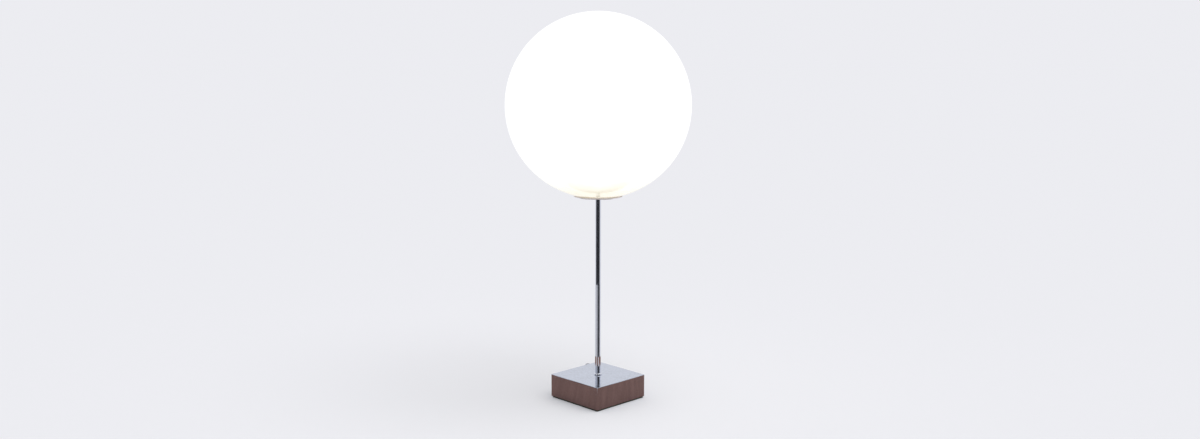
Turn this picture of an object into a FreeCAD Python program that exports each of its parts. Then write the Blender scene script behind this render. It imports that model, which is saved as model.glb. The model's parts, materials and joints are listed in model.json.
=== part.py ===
import FreeCAD, Part
import math
import os

# A glass globe table lamp. A square chrome box stands on a felt pad and hides an iron weight, the wiring
# and a turn switch. A slim chrome tube rises from it to a disc that carries the opal glass globe, and the
# lamp holder with its bulb stands on the same tube inside the globe.
# Millimetres, +Z up, the origin on the table under the middle of the base. The rear face looks to +Y.

# Base
BASE_SIDE = 130.0
BASE_HEIGHT = 47.0
SHELL_WALL = 1.6
SHELL_EDGE_RADIUS = 0.8
PAD_THICK = 3.0
PAD_INSET = 2.0
COVER_THICK = 1.5
COVER_GAP = 0.3
WEIGHT_GAP = 0.4
CHAMBER_HEIGHT = 18.0
POST_SIDE = 18.0
SCREW_INSET = 13.0
COVER_SCREW_RADIUS = 2.0
COVER_SCREW_LENGTH = 10.0
COVER_SCREW_HEAD_RADIUS = 3.5
COVER_SCREW_HEAD_HEIGHT = 1.5
PAD_HOLE_MARGIN = 1.5

# Stem and its fastening
STEM_RADIUS = 5.5
STEM_BORE_RADIUS = 3.5
STEM_LENGTH = 350.5
STEM_THREAD_RADIUS = 5.0
STEM_END_BELOW_NUT = 1.7
COLLAR_RADIUS = 8.0
COLLAR_HEIGHT = 3.0
COLLAR_EDGE_RADIUS = 1.6
WASHER_RADIUS = 10.0
WASHER_THICK = 1.2
STEM_NUT_FLATS = 16.0
STEM_NUT_THICK = 6.0
NUT_POCKET_RADIUS = 12.5
NUT_POCKET_DEPTH = 10.0

# Globe and the disc that carries it
GLOBE_RADIUS = 177.5
GLOBE_WALL = 2.5
GLOBE_RIM_RADIUS = 46.5
GLOBE_RIM_FLAT = 5.0
HOLDER_RIM_MARGIN = 1.0
HOLDER_THICK = 2.0
HOLDER_EDGE_RADIUS = 0.7
CENTRING_GAP = 1.0
CENTRING_WALL = 2.4
CENTRING_HEIGHT = 6.0
GASKET_THICK = 1.0
GASKET_MARGIN = 0.5
HOLDER_NUT_FLATS = 14.0
HOLDER_NUT_THICK = 5.0

# Lamp holder
CAP_HUB_RADIUS = 7.5
CAP_HUB_HEIGHT = 9.0
CAP_RADIUS = 17.0
CAP_DOME_HEIGHT = 9.0
CAP_SKIRT_HEIGHT = 8.0
CAP_SKIRT_WALL = 0.8
CAP_DOME_WALL = 1.6
CAP_BOW_RISE_SHARE = 0.35
CAP_BOW_REACH_SHARE = 0.7
CAP_LEDGE_WIDTH = 2.7
CAP_LIFT = 1.0
SET_SCREW_RADIUS = 1.5
SET_SCREW_PROUD = 0.6
SOCKET_SHELL_WALL = 0.5
SOCKET_SHELL_HEIGHT = 41.0
LINER_WALL = 0.7
LINER_HEIGHT = 36.0
SOCKET_FLANGE_THICK = 2.0
SOCKET_BODY_RADIUS = 12.3
SOCKET_BODY_HEIGHT = 10.0
SOCKET_NOSE_RADIUS = 4.8
SOCKET_NOSE_HEIGHT = 1.5
SCREW_SHELL_WALL = 0.5
SCREW_SHELL_HEIGHT = 25.0
SCREW_SHELL_GAP = 0.35
CONTACT_RADIUS = 3.5
CONTACT_THICK = 0.8
TERMINAL_RADIUS = 1.5
TERMINAL_HEAD_RADIUS = 2.8
TERMINAL_HEAD_THICK = 1.6
TERMINAL_DEPTH = 5.0

# Bulb
BULB_LENGTH = 107.0
BULB_RADIUS = 30.0
BULB_NECK_RADIUS = 12.5
BULB_TAPER_DEGREES = 35.0
BULB_BLEND_RADIUS = 30.0
BULB_WALL = 0.8
BULB_CAP_RADIUS = 13.05
BULB_CAP_WALL = 0.4
BULB_CAP_HEIGHT = 21.5
BULB_NECK_IN_CAP = 8.0
BULB_INSULATOR_HEIGHT = 3.0
BULB_INSULATOR_TOP_RADIUS = 11.0
BULB_INSULATOR_LOW_RADIUS = 5.5
BULB_CONTACT_RADIUS = 4.5
BULB_CONTACT_THICK = 1.2
MOUNT_STEM_RADIUS = 3.2
MOUNT_HEIGHT = 34.0
MOUNT_FLARE_THICK = 1.0
LEAD_WIRE_RADIUS = 0.4
LEAD_WIRE_FOOT = 2.0
LEAD_WIRE_HEAD = 13.0
LEAD_WIRE_RISE = 20.0
FILAMENT_RADIUS = 0.45
FILAMENT_RISE = 4.0

# Switch in the rear face
SWITCH_FROM_CORNER = 17.0
SWITCH_ROOM_ABOVE = 0.9
SWITCH_BODY_WIDTH = 20.0
SWITCH_BODY_HEIGHT = 15.0
SWITCH_BODY_DEPTH = 16.0
SWITCH_WASHER_RADIUS = 8.0
SWITCH_WASHER_THICK = 0.8
SWITCH_THREAD_RADIUS = 5.0
SWITCH_THREAD_PROUD = 4.5
SWITCH_THREAD_IN_BODY = 3.0
SWITCH_NUT_RADIUS = 7.5
SWITCH_NUT_THICK = 2.5
SWITCH_SHAFT_RADIUS = 2.4
SWITCH_SHAFT_IN_BODY = 12.0
SWITCH_TERMINAL_SPREAD = 5.0
KNOB_RADIUS = 6.5
KNOB_LENGTH = 12.0
KNOB_GAP = 0.5
KNOB_EDGE_RADIUS = 1.0
KNOB_SHAFT_DEPTH = 10.0
KNOB_SCREW_RADIUS = 1.3
KNOB_SCREW_SINK = 0.3
KNOB_SCREW_FROM_END = 3.5
SWITCH_POCKET_MARGIN = 3.5
SWITCH_POCKET_FLOOR = 2.6
SWITCH_LEAD_ROOM = 16.0

# Cord inlet in the rear face
BUSHING_BORE_RADIUS = 3.5
BUSHING_THREAD_RADIUS = 5.0
BUSHING_THREAD_INSIDE = 9.0
BUSHING_FLANGE_RADIUS = 7.0
BUSHING_FLANGE_THICK = 2.5
BUSHING_EDGE_RADIUS = 0.8
BUSHING_NUT_FLATS = 12.8
BUSHING_NUT_THICK = 4.0

# Terminal block and leads
BLOCK_X = 17.0
BLOCK_Y = 30.0
BLOCK_WIDTH = 20.0
BLOCK_DEPTH = 12.0
BLOCK_HEIGHT = 9.0
BLOCK_POLE_SPREAD = 5.0
BLOCK_SCREW_RADIUS = 1.5
BLOCK_SCREW_HEAD_RADIUS = 2.8
BLOCK_SCREW_HEAD_THICK = 1.5
BLOCK_SCREW_GRIP = 6.0
LEAD_RADIUS = 1.0
LEAD_SPREAD = 1.6
LEAD_HOLE_RADIUS = 4.5
LEAD_HOLE_MARGIN = 1.6
LEAD_HOLE_SPREAD = 2.4
LEAD_DEPTH = 10.5
NEUTRAL_RUN = 7.0
LEAD_BEND_SHARE = 0.45
LEAD_SWING_FOOT_SHARE = 0.17
LEAD_SWING_HEAD_SHARE = 0.33

# Clearances
THREAD_GAP = 0.05
RUNNING_GAP = 0.05
PASS_GAP = 0.15

# Heights of the stack, from the table up
COVER_TOP = PAD_THICK + COVER_THICK
WEIGHT_TOP = BASE_HEIGHT - SHELL_WALL
WEIGHT_BOTTOM = COVER_TOP + CHAMBER_HEIGHT
NUT_SEAT = WEIGHT_BOTTOM + NUT_POCKET_DEPTH
STEM_NUT_TOP = NUT_SEAT - WASHER_THICK
STEM_LOW_END = STEM_NUT_TOP - STEM_NUT_THICK - STEM_END_BELOW_NUT
COLLAR_TOP = BASE_HEIGHT + COLLAR_HEIGHT
STEM_TOP = COLLAR_TOP + STEM_LENGTH
HOLDER_TOP = STEM_TOP + HOLDER_THICK
GASKET_TOP = HOLDER_TOP + GASKET_THICK
HOLDER_NUT_BOTTOM = HOLDER_TOP + WASHER_THICK
CAP_BOTTOM = HOLDER_NUT_BOTTOM + HOLDER_NUT_THICK + CAP_LIFT
CAP_HUB_TOP = CAP_BOTTOM + CAP_HUB_HEIGHT
CAP_LEDGE = CAP_HUB_TOP + CAP_DOME_HEIGHT
FLANGE_TOP = CAP_LEDGE + SOCKET_FLANGE_THICK
SOCKET_BODY_TOP = FLANGE_TOP + SOCKET_BODY_HEIGHT
CONTACT_BOTTOM = SOCKET_BODY_TOP + SOCKET_NOSE_HEIGHT
BULB_BOTTOM = CONTACT_BOTTOM + CONTACT_THICK
INSULATOR_BOTTOM = BULB_BOTTOM + BULB_CONTACT_THICK
BULB_CAP_BOTTOM = INSULATOR_BOTTOM + BULB_INSULATOR_HEIGHT
BULB_CAP_TOP = BULB_CAP_BOTTOM + BULB_CAP_HEIGHT
BULB_CENTRE = BULB_BOTTOM + BULB_LENGTH - BULB_RADIUS
GLOBE_MOUTH_RADIUS = GLOBE_RIM_RADIUS - GLOBE_RIM_FLAT
GLOBE_CENTRE = GASKET_TOP + math.sqrt(GLOBE_RADIUS ** 2 - GLOBE_RIM_RADIUS ** 2)

# Places in plan
HALF_SIDE = BASE_SIDE / 2
INNER_HALF = HALF_SIDE - SHELL_WALL
WEIGHT_HALF = INNER_HALF - WEIGHT_GAP
SCREW_PLACE = HALF_SIDE - SCREW_INSET
CORNERS = [(-1, -1), (1, -1), (1, 1), (-1, 1)]
SAME_HEIGHT = 0.01
SWITCH_X = HALF_SIDE - SWITCH_FROM_CORNER
SWITCH_Z = WEIGHT_TOP - SWITCH_ROOM_ABOVE - SWITCH_BODY_HEIGHT / 2
SWITCH_FRONT = INNER_HALF - SWITCH_WASHER_THICK
SWITCH_BACK = SWITCH_FRONT - SWITCH_BODY_DEPTH
SWITCH_THREAD_END = HALF_SIDE + SWITCH_THREAD_PROUD
KNOB_BACK = SWITCH_THREAD_END + KNOB_GAP
CAP_INNER_RADIUS = CAP_RADIUS - CAP_SKIRT_WALL
SOCKET_SHELL_RADIUS = CAP_INNER_RADIUS - THREAD_GAP
SOCKET_SHELL_BORE = SOCKET_SHELL_RADIUS - SOCKET_SHELL_WALL
SOCKET_LEAD_X = SOCKET_BODY_RADIUS - TERMINAL_DEPTH / 2 - TERMINAL_HEAD_THICK / 2
BUSHING_Z = COVER_TOP + CHAMBER_HEIGHT / 2
PIECES = {}


def vec(x, y, z):
    return FreeCAD.Vector(x, y, z)


def rod(radius, low, high, x=0.0, y=0.0):
    """An upright cylinder between two heights."""
    return Part.makeCylinder(radius, high - low, vec(x, y, low))


def rod_y(radius, near, far, x, z):
    """A cylinder along Y between two places."""
    return Part.makeCylinder(radius, far - near, vec(x, near, z), vec(0, 1, 0))


def rod_x(radius, near, far, y, z):
    """A cylinder along X between two places."""
    return Part.makeCylinder(radius, far - near, vec(near, y, z), vec(1, 0, 0))


def block(x_range, y_range, z_range):
    """A box between three pairs of limits."""
    sides = [pair[1] - pair[0] for pair in (x_range, y_range, z_range)]
    return Part.makeBox(sides[0], sides[1], sides[2], vec(x_range[0], y_range[0], z_range[0]))


def slab(half, low, high):
    """A square plate centred on the stem."""
    return block((-half, half), (-half, half), (low, high))


def ring(outer, inner, low, high):
    """A flat ring round the stem."""
    return rod(outer, low, high).cut(rod(inner, low, high))


def ring_y(outer, inner, near, far, x, z):
    """A ring round an axis along Y."""
    return rod_y(outer, near, far, x, z).cut(rod_y(inner, near, far, x, z))


def hexagon(flats, low, high):
    """An upright hexagonal bar, given across its flats."""
    reach = flats / math.sqrt(3)
    points = []
    for step in range(7):
        turn = math.radians(60 * step)
        points.append(vec(reach * math.cos(turn), reach * math.sin(turn), low))
    return Part.Face(Part.makePolygon(points)).extrude(vec(0, 0, high - low))


def nut(flats, bore, low, high):
    """A hexagonal nut with rounded corners."""
    reach = flats / math.sqrt(3)
    chamfer = (reach - flats / 2) / 2
    blank = hexagon(flats, low, high).common(rod(reach - chamfer, low, high))
    return blank.cut(rod(bore, low, high))


def upright_to_rear(shape, x, y, z):
    """Turns a piece made on the Z axis so that its foot is at (x, y, z) and it points to +Y."""
    turned = shape.copy()
    turned.rotate(vec(0, 0, 0), vec(1, 0, 0), -90)
    turned.translate(vec(x, y, z))
    return turned


def line(start, end):
    return Part.LineSegment(vec(start[0], 0, start[1]), vec(end[0], 0, end[1])).toShape()


def arc(start, middle, end):
    ends = [vec(point[0], 0, point[1]) for point in (start, middle, end)]
    return Part.Arc(ends[0], ends[1], ends[2]).toShape()


def spun(edges):
    """A solid of revolution about the stem's axis, from (radius, height) edges in order."""
    face = Part.Face(Part.Wire(edges))
    return face.revolve(vec(0, 0, 0), vec(0, 0, 1), 360)


def filleted(shape, radius, chosen):
    """Rounds the edges that the test picks."""
    edges = [edge for edge in shape.Edges if chosen(edge)]
    return shape.makeFillet(radius, edges)


def at_height(edge, height):
    box = edge.BoundBox
    return abs(box.ZMin - height) < SAME_HEIGHT and abs(box.ZMax - height) < SAME_HEIGHT


def lead(name, points):
    """An insulated wire: straight runs joined by tangent arcs, each as large as its shorter run allows."""
    corners = [vec(point[0], point[1], point[2]) for point in points]
    edges = []
    here = corners[0]
    for before, corner, after in zip(corners, corners[1:], corners[2:]):
        back = before - corner
        ahead = after - corner
        cut = LEAD_BEND_SHARE * min(back.Length, ahead.Length)
        back.normalize()
        ahead.normalize()
        start = corner + back * cut
        end = corner + ahead * cut
        half_turn = (math.pi - back.getAngle(ahead)) / 2
        radius = cut / math.tan(half_turn)
        inward = (back + ahead).normalize()
        middle = corner + inward * (radius / math.cos(half_turn) - radius)
        edges.append(Part.LineSegment(here, start).toShape())
        edges.append(Part.Arc(start, middle, end).toShape())
        here = end
    edges.append(Part.LineSegment(here, corners[-1]).toShape())
    path = Part.Wire(edges)
    first = corners[1] - corners[0]
    section = Part.Wire(Part.makeCircle(LEAD_RADIUS, corners[0], first))
    tube = path.makePipeShell([section], True, False)
    full = math.pi * LEAD_RADIUS ** 2 * path.Length
    print(name, "length", round(path.Length, 1), "volume share", round(tube.Volume / full, 4))
    return tube


def base_shell():
    """The box, open below, with holes for the stem, the switch and the cord bushing."""
    outside = slab(HALF_SIDE, PAD_THICK, BASE_HEIGHT)
    outside = filleted(outside, SHELL_EDGE_RADIUS, lambda edge: not at_height(edge, PAD_THICK))
    shell = outside.cut(slab(INNER_HALF, PAD_THICK, WEIGHT_TOP))
    shell = shell.cut(rod(STEM_THREAD_RADIUS + PASS_GAP, WEIGHT_TOP, BASE_HEIGHT))
    bushing_hole = BUSHING_THREAD_RADIUS + PASS_GAP
    shell = shell.cut(rod_y(bushing_hole, INNER_HALF, HALF_SIDE, 0, BUSHING_Z))
    switch_hole = SWITCH_THREAD_RADIUS + PASS_GAP
    return shell.cut(rod_y(switch_hole, INNER_HALF, HALF_SIDE, SWITCH_X, SWITCH_Z))


def base_weight():
    """The iron slab under the shell's top, on four posts that take the cover screws."""
    weight = slab(WEIGHT_HALF, WEIGHT_BOTTOM, WEIGHT_TOP)
    for side_x, side_y in CORNERS:
        x_range = sorted((side_x * (WEIGHT_HALF - POST_SIDE), side_x * WEIGHT_HALF))
        y_range = sorted((side_y * (WEIGHT_HALF - POST_SIDE), side_y * WEIGHT_HALF))
        weight = weight.fuse(block(x_range, y_range, (COVER_TOP, WEIGHT_BOTTOM)))
    weight = weight.cut(rod(STEM_THREAD_RADIUS + PASS_GAP, NUT_SEAT, WEIGHT_TOP))
    weight = weight.cut(rod(NUT_POCKET_RADIUS, WEIGHT_BOTTOM, NUT_SEAT))
    pocket_x = SWITCH_X - SWITCH_BODY_WIDTH / 2 - SWITCH_POCKET_MARGIN
    pocket_y = SWITCH_BACK - SWITCH_LEAD_ROOM
    floor = WEIGHT_BOTTOM + SWITCH_POCKET_FLOOR
    weight = weight.cut(block((pocket_x, WEIGHT_HALF), (pocket_y, WEIGHT_HALF), (floor, WEIGHT_TOP)))
    hole_x, hole_y = lead_hole()
    weight = weight.cut(rod(LEAD_HOLE_RADIUS, WEIGHT_BOTTOM, floor, hole_x, hole_y))
    screw_end = PAD_THICK + COVER_SCREW_LENGTH + PASS_GAP
    for side_x, side_y in CORNERS:
        tapped = rod(COVER_SCREW_RADIUS + THREAD_GAP, COVER_TOP, screw_end,
                     side_x * SCREW_PLACE, side_y * SCREW_PLACE)
        weight = weight.cut(tapped)
    grip = rod(BLOCK_SCREW_RADIUS + THREAD_GAP, WEIGHT_BOTTOM, WEIGHT_BOTTOM + BLOCK_SCREW_GRIP + PASS_GAP,
               BLOCK_X, BLOCK_Y)
    return weight.cut(grip).removeSplitter()


def lead_hole():
    """Where the two switch leads pass down through the pocket's floor."""
    x = WEIGHT_HALF - POST_SIDE - LEAD_HOLE_RADIUS - LEAD_HOLE_MARGIN
    y = SWITCH_BACK - SWITCH_LEAD_ROOM + LEAD_HOLE_RADIUS + LEAD_HOLE_MARGIN
    return x, y


def bottom_cover():
    cover = slab(INNER_HALF - COVER_GAP, PAD_THICK, COVER_TOP)
    for side_x, side_y in CORNERS:
        hole = rod(COVER_SCREW_RADIUS + PASS_GAP, PAD_THICK, COVER_TOP,
                   side_x * SCREW_PLACE, side_y * SCREW_PLACE)
        cover = cover.cut(hole)
    return cover


def felt_pad():
    """Felt under the base, with a hole round each screw head."""
    pad = slab(HALF_SIDE - PAD_INSET, 0, PAD_THICK)
    for side_x, side_y in CORNERS:
        hole = rod(COVER_SCREW_HEAD_RADIUS + PAD_HOLE_MARGIN, 0, PAD_THICK,
                   side_x * SCREW_PLACE, side_y * SCREW_PLACE)
        pad = pad.cut(hole)
    return pad


def cover_screws():
    screws = []
    for side_x, side_y in CORNERS:
        x = side_x * SCREW_PLACE
        y = side_y * SCREW_PLACE
        head = rod(COVER_SCREW_HEAD_RADIUS, PAD_THICK - COVER_SCREW_HEAD_HEIGHT, PAD_THICK, x, y)
        shank = rod(COVER_SCREW_RADIUS, PAD_THICK, PAD_THICK + COVER_SCREW_LENGTH, x, y)
        screws.append(head.fuse(shank).removeSplitter())
    return Part.makeCompound(screws)


def stem_tube():
    """The tube, turned down and threaded at both ends, with shoulders on the collar and under the disc."""
    tube = rod(STEM_RADIUS, COLLAR_TOP, STEM_TOP)
    tube = tube.fuse(rod(STEM_THREAD_RADIUS, STEM_LOW_END, CAP_HUB_TOP))
    return tube.cut(rod(STEM_BORE_RADIUS, STEM_LOW_END, CAP_HUB_TOP)).removeSplitter()


def stem_collar():
    collar = ring(COLLAR_RADIUS, STEM_THREAD_RADIUS + PASS_GAP, BASE_HEIGHT, COLLAR_TOP)
    return filleted(collar, COLLAR_EDGE_RADIUS,
                    lambda edge: at_height(edge, COLLAR_TOP) and edge.BoundBox.XMax > STEM_RADIUS)


def globe_holder():
    """The disc under the globe, with the ring that centres the globe's mouth."""
    radius = GLOBE_RIM_RADIUS + HOLDER_RIM_MARGIN
    disc = rod(radius, STEM_TOP, HOLDER_TOP)
    disc = disc.makeFillet(HOLDER_EDGE_RADIUS, [edge for edge in disc.Edges if len(edge.Vertexes) == 1])
    ring_radius = GLOBE_MOUTH_RADIUS - CENTRING_GAP
    centring = ring(ring_radius, ring_radius - CENTRING_WALL, HOLDER_TOP, HOLDER_TOP + CENTRING_HEIGHT)
    holder = disc.fuse(centring).cut(rod(STEM_THREAD_RADIUS + PASS_GAP, STEM_TOP, HOLDER_TOP))
    return holder.removeSplitter()


def globe_glass():
    """Opal glass ball with a ground flat at its mouth."""
    centre = vec(0, 0, GLOBE_CENTRE)
    ball = Part.makeSphere(GLOBE_RADIUS, centre).cut(Part.makeSphere(GLOBE_RADIUS - GLOBE_WALL, centre))
    below = block((-GLOBE_RIM_RADIUS, GLOBE_RIM_RADIUS), (-GLOBE_RIM_RADIUS, GLOBE_RIM_RADIUS),
                  (GLOBE_CENTRE - GLOBE_RADIUS, GASKET_TOP))
    return ball.cut(below).cut(rod(GLOBE_MOUTH_RADIUS, GASKET_TOP, GLOBE_CENTRE))


def socket_cap():
    """The spun cap: a threaded hub, a dome, and a skirt with a ledge that carries the lamp holder."""
    bore = STEM_THREAD_RADIUS + THREAD_GAP
    top = CAP_LEDGE + CAP_SKIRT_HEIGHT
    ledge = CAP_INNER_RADIUS - CAP_LEDGE_WIDTH
    bow_height = CAP_HUB_TOP + CAP_BOW_RISE_SHARE * CAP_DOME_HEIGHT
    outer_bow = (CAP_HUB_RADIUS + CAP_BOW_REACH_SHARE * (CAP_RADIUS - CAP_HUB_RADIUS), bow_height)
    inner_bow = (outer_bow[0] - CAP_DOME_WALL, bow_height + CAP_DOME_WALL / 2)
    inner_foot = (CAP_HUB_RADIUS - CAP_DOME_WALL / 2, CAP_HUB_TOP)
    edges = [
        line((bore, CAP_BOTTOM), (CAP_HUB_RADIUS, CAP_BOTTOM)),
        line((CAP_HUB_RADIUS, CAP_BOTTOM), (CAP_HUB_RADIUS, CAP_HUB_TOP - CAP_DOME_WALL)),
        arc((CAP_HUB_RADIUS, CAP_HUB_TOP - CAP_DOME_WALL), outer_bow, (CAP_RADIUS, CAP_LEDGE)),
        line((CAP_RADIUS, CAP_LEDGE), (CAP_RADIUS, top)),
        line((CAP_RADIUS, top), (CAP_INNER_RADIUS, top)),
        line((CAP_INNER_RADIUS, top), (CAP_INNER_RADIUS, CAP_LEDGE)),
        line((CAP_INNER_RADIUS, CAP_LEDGE), (ledge, CAP_LEDGE)),
        arc((ledge, CAP_LEDGE), inner_bow, inner_foot),
        line(inner_foot, (bore, CAP_HUB_TOP)),
        line((bore, CAP_HUB_TOP), (bore, CAP_BOTTOM)),
    ]
    hole = rod_x(SET_SCREW_RADIUS + THREAD_GAP, STEM_THREAD_RADIUS, CAP_RADIUS, 0, set_screw_height())
    return spun(edges).cut(hole)


def set_screw_height():
    return CAP_BOTTOM + (CAP_HUB_HEIGHT - CAP_DOME_WALL) / 2


def cap_set_screw():
    start = STEM_THREAD_RADIUS + THREAD_GAP
    return rod_x(SET_SCREW_RADIUS, start, CAP_HUB_RADIUS + SET_SCREW_PROUD, 0, set_screw_height())


def socket_shell():
    return ring(SOCKET_SHELL_RADIUS, SOCKET_SHELL_BORE, CAP_LEDGE, CAP_LEDGE + SOCKET_SHELL_HEIGHT)


def socket_liner():
    outer = SOCKET_SHELL_BORE - THREAD_GAP
    return ring(outer, outer - LINER_WALL, FLANGE_TOP, FLANGE_TOP + LINER_HEIGHT)


def socket_body():
    """The moulded core: a flange on the cap's ledge, a drum with two terminals and a nose for the contact."""
    body = rod(SOCKET_SHELL_BORE - THREAD_GAP, CAP_LEDGE, FLANGE_TOP)
    body = body.fuse(rod(SOCKET_BODY_RADIUS, FLANGE_TOP, SOCKET_BODY_TOP))
    body = body.fuse(rod(SOCKET_NOSE_RADIUS, SOCKET_BODY_TOP, CONTACT_BOTTOM))
    for side in (-1, 1):
        reach = sorted((side * (SOCKET_BODY_RADIUS - TERMINAL_DEPTH - PASS_GAP), side * SOCKET_BODY_RADIUS))
        body = body.cut(rod_x(TERMINAL_RADIUS + THREAD_GAP, reach[0], reach[1], 0, terminal_height()))
        body = body.cut(rod(LEAD_RADIUS + PASS_GAP, CAP_LEDGE, terminal_height(), side * SOCKET_LEAD_X))
    return body.removeSplitter()


def terminal_height():
    return FLANGE_TOP + SOCKET_BODY_HEIGHT / 2


def socket_terminals():
    """Two terminal screws whose flat underside meets the drum."""
    screws = []
    for side in (-1, 1):
        tip = side * (SOCKET_BODY_RADIUS - TERMINAL_DEPTH)
        seat = side * SOCKET_BODY_RADIUS
        top = side * (SOCKET_BODY_RADIUS + TERMINAL_HEAD_THICK)
        shank = rod_x(TERMINAL_RADIUS, min(tip, seat), max(tip, seat), 0, terminal_height())
        head = rod_x(TERMINAL_HEAD_RADIUS, min(seat, top), max(seat, top), 0, terminal_height())
        screws.append(shank.fuse(head).removeSplitter())
    return Part.makeCompound(screws)


def socket_screw_shell():
    inner = BULB_CAP_RADIUS + SCREW_SHELL_GAP
    outer = inner + SCREW_SHELL_WALL
    floor = SOCKET_BODY_TOP + SCREW_SHELL_WALL
    shell = ring(outer, SOCKET_NOSE_RADIUS + PASS_GAP, SOCKET_BODY_TOP, SOCKET_BODY_TOP + SCREW_SHELL_HEIGHT)
    return shell.cut(rod(inner, floor, SOCKET_BODY_TOP + SCREW_SHELL_HEIGHT))


def socket_contact():
    return rod(CONTACT_RADIUS, CONTACT_BOTTOM, BULB_BOTTOM)


def bulb_outline(inset):
    """Edges of the bulb from the neck's foot to the crown, each tangent to the next."""
    ball = BULB_RADIUS - inset
    neck = BULB_NECK_RADIUS - inset
    blend = BULB_BLEND_RADIUS + inset
    taper = math.radians(BULB_TAPER_DEGREES)
    touch = (ball * math.cos(taper), BULB_CENTRE - ball * math.sin(taper))
    run = (touch[0] - neck) / math.sin(taper)
    bend = touch[1] - run * math.cos(taper)
    reach = blend * math.tan(taper / 2)
    neck_top = (neck, bend - reach)
    blend_top = (neck + reach * math.sin(taper), bend + reach * math.cos(taper))
    blend_middle = (neck + blend * (1 - math.cos(taper / 2)), neck_top[1] + blend * math.sin(taper / 2))
    rise = math.radians((90 - BULB_TAPER_DEGREES) / 2)
    ball_middle = (ball * math.cos(rise), BULB_CENTRE + ball * math.sin(rise))
    foot = (neck, BULB_CAP_TOP - BULB_NECK_IN_CAP)
    crown = (0, BULB_CENTRE + ball)
    edges = [
        line(foot, neck_top),
        arc(neck_top, blend_middle, blend_top),
        line(blend_top, touch),
        arc(touch, ball_middle, crown),
    ]
    return edges, foot, crown


def bulb_glass():
    outer, outer_foot, outer_crown = bulb_outline(0)
    inner, inner_foot, inner_crown = bulb_outline(BULB_WALL)
    edges = outer + [line(outer_crown, inner_crown)] + inner[::-1] + [line(inner_foot, outer_foot)]
    return spun(Part.__sortEdges__(edges))


def bulb_cap():
    """The bulb's metal screw cap: a cup whose floor is open in the middle."""
    cup = ring(BULB_CAP_RADIUS, BULB_INSULATOR_LOW_RADIUS, BULB_CAP_BOTTOM, BULB_CAP_TOP)
    return cup.cut(rod(BULB_CAP_RADIUS - BULB_CAP_WALL, BULB_CAP_BOTTOM + BULB_CAP_WALL, BULB_CAP_TOP))


def bulb_insulator():
    return Part.makeCone(BULB_INSULATOR_LOW_RADIUS, BULB_INSULATOR_TOP_RADIUS, BULB_INSULATOR_HEIGHT,
                         vec(0, 0, INSULATOR_BOTTOM))


def bulb_contact():
    return rod(BULB_CONTACT_RADIUS, BULB_BOTTOM, INSULATOR_BOTTOM)


def mount_top():
    return BULB_CAP_TOP - BULB_NECK_IN_CAP + MOUNT_HEIGHT


def bulb_mount():
    """The glass stem in the bulb, with a flare that closes the neck."""
    foot = BULB_CAP_TOP - BULB_NECK_IN_CAP
    flare = rod(BULB_NECK_RADIUS - BULB_WALL - THREAD_GAP, foot, foot + MOUNT_FLARE_THICK)
    return flare.fuse(rod(MOUNT_STEM_RADIUS, foot + MOUNT_FLARE_THICK, mount_top())).removeSplitter()


def bulb_lead_wires():
    """Two supports that lean out from the glass stem to the filament's ends."""
    wires = []
    for side in (-1, 1):
        foot = vec(side * LEAD_WIRE_FOOT, 0, mount_top() + LEAD_WIRE_RADIUS)
        head = vec(side * LEAD_WIRE_HEAD, 0, mount_top() + LEAD_WIRE_RISE)
        along = head - foot
        leaning = Part.makeCylinder(LEAD_WIRE_RADIUS, along.Length, foot, along)
        root = rod(LEAD_WIRE_RADIUS, mount_top(), mount_top() + 2 * LEAD_WIRE_RADIUS, side * LEAD_WIRE_FOOT)
        wires.append(leaning.fuse(root).fuse(Part.makeSphere(LEAD_WIRE_RADIUS, foot)).removeSplitter())
    return Part.makeCompound(wires)


def bulb_filament():
    """The wire between the two supports, bowed upwards, its ends resting on theirs."""
    half = LEAD_WIRE_HEAD
    height = mount_top() + LEAD_WIRE_RISE + FILAMENT_RADIUS + LEAD_WIRE_RADIUS
    bow = Part.Arc(vec(-half, 0, height), vec(0, 0, height + FILAMENT_RISE), vec(half, 0, height))
    path = Part.Wire(bow.toShape())
    start = path.Edges[0].tangentAt(path.Edges[0].FirstParameter)
    section = Part.Wire(Part.makeCircle(FILAMENT_RADIUS, vec(-half, 0, height), start))
    return path.makePipeShell([section], True, False)


def switch_body():
    """The moulded switch housing behind the rear wall, bored for its threaded neck and shaft."""
    half_width = SWITCH_BODY_WIDTH / 2
    half_height = SWITCH_BODY_HEIGHT / 2
    housing = block((SWITCH_X - half_width, SWITCH_X + half_width), (SWITCH_BACK, SWITCH_FRONT),
                    (SWITCH_Z - half_height, SWITCH_Z + half_height))
    neck_end = SWITCH_FRONT - SWITCH_THREAD_IN_BODY
    neck = rod_y(SWITCH_THREAD_RADIUS + THREAD_GAP, neck_end, SWITCH_FRONT, SWITCH_X, SWITCH_Z)
    shaft_end = SWITCH_FRONT - SWITCH_SHAFT_IN_BODY - PASS_GAP
    bore = rod_y(SWITCH_SHAFT_RADIUS + RUNNING_GAP, shaft_end, neck_end, SWITCH_X, SWITCH_Z)
    return housing.cut(neck).cut(bore)


def switch_bushing():
    return ring_y(SWITCH_THREAD_RADIUS, SWITCH_SHAFT_RADIUS + RUNNING_GAP,
                  SWITCH_FRONT - SWITCH_THREAD_IN_BODY, SWITCH_THREAD_END, SWITCH_X, SWITCH_Z)


def switch_washer():
    return ring_y(SWITCH_WASHER_RADIUS, SWITCH_THREAD_RADIUS + PASS_GAP,
                  SWITCH_FRONT, INNER_HALF, SWITCH_X, SWITCH_Z)


def switch_nut():
    return ring_y(SWITCH_NUT_RADIUS, SWITCH_THREAD_RADIUS + THREAD_GAP,
                  HALF_SIDE, HALF_SIDE + SWITCH_NUT_THICK, SWITCH_X, SWITCH_Z)


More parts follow.
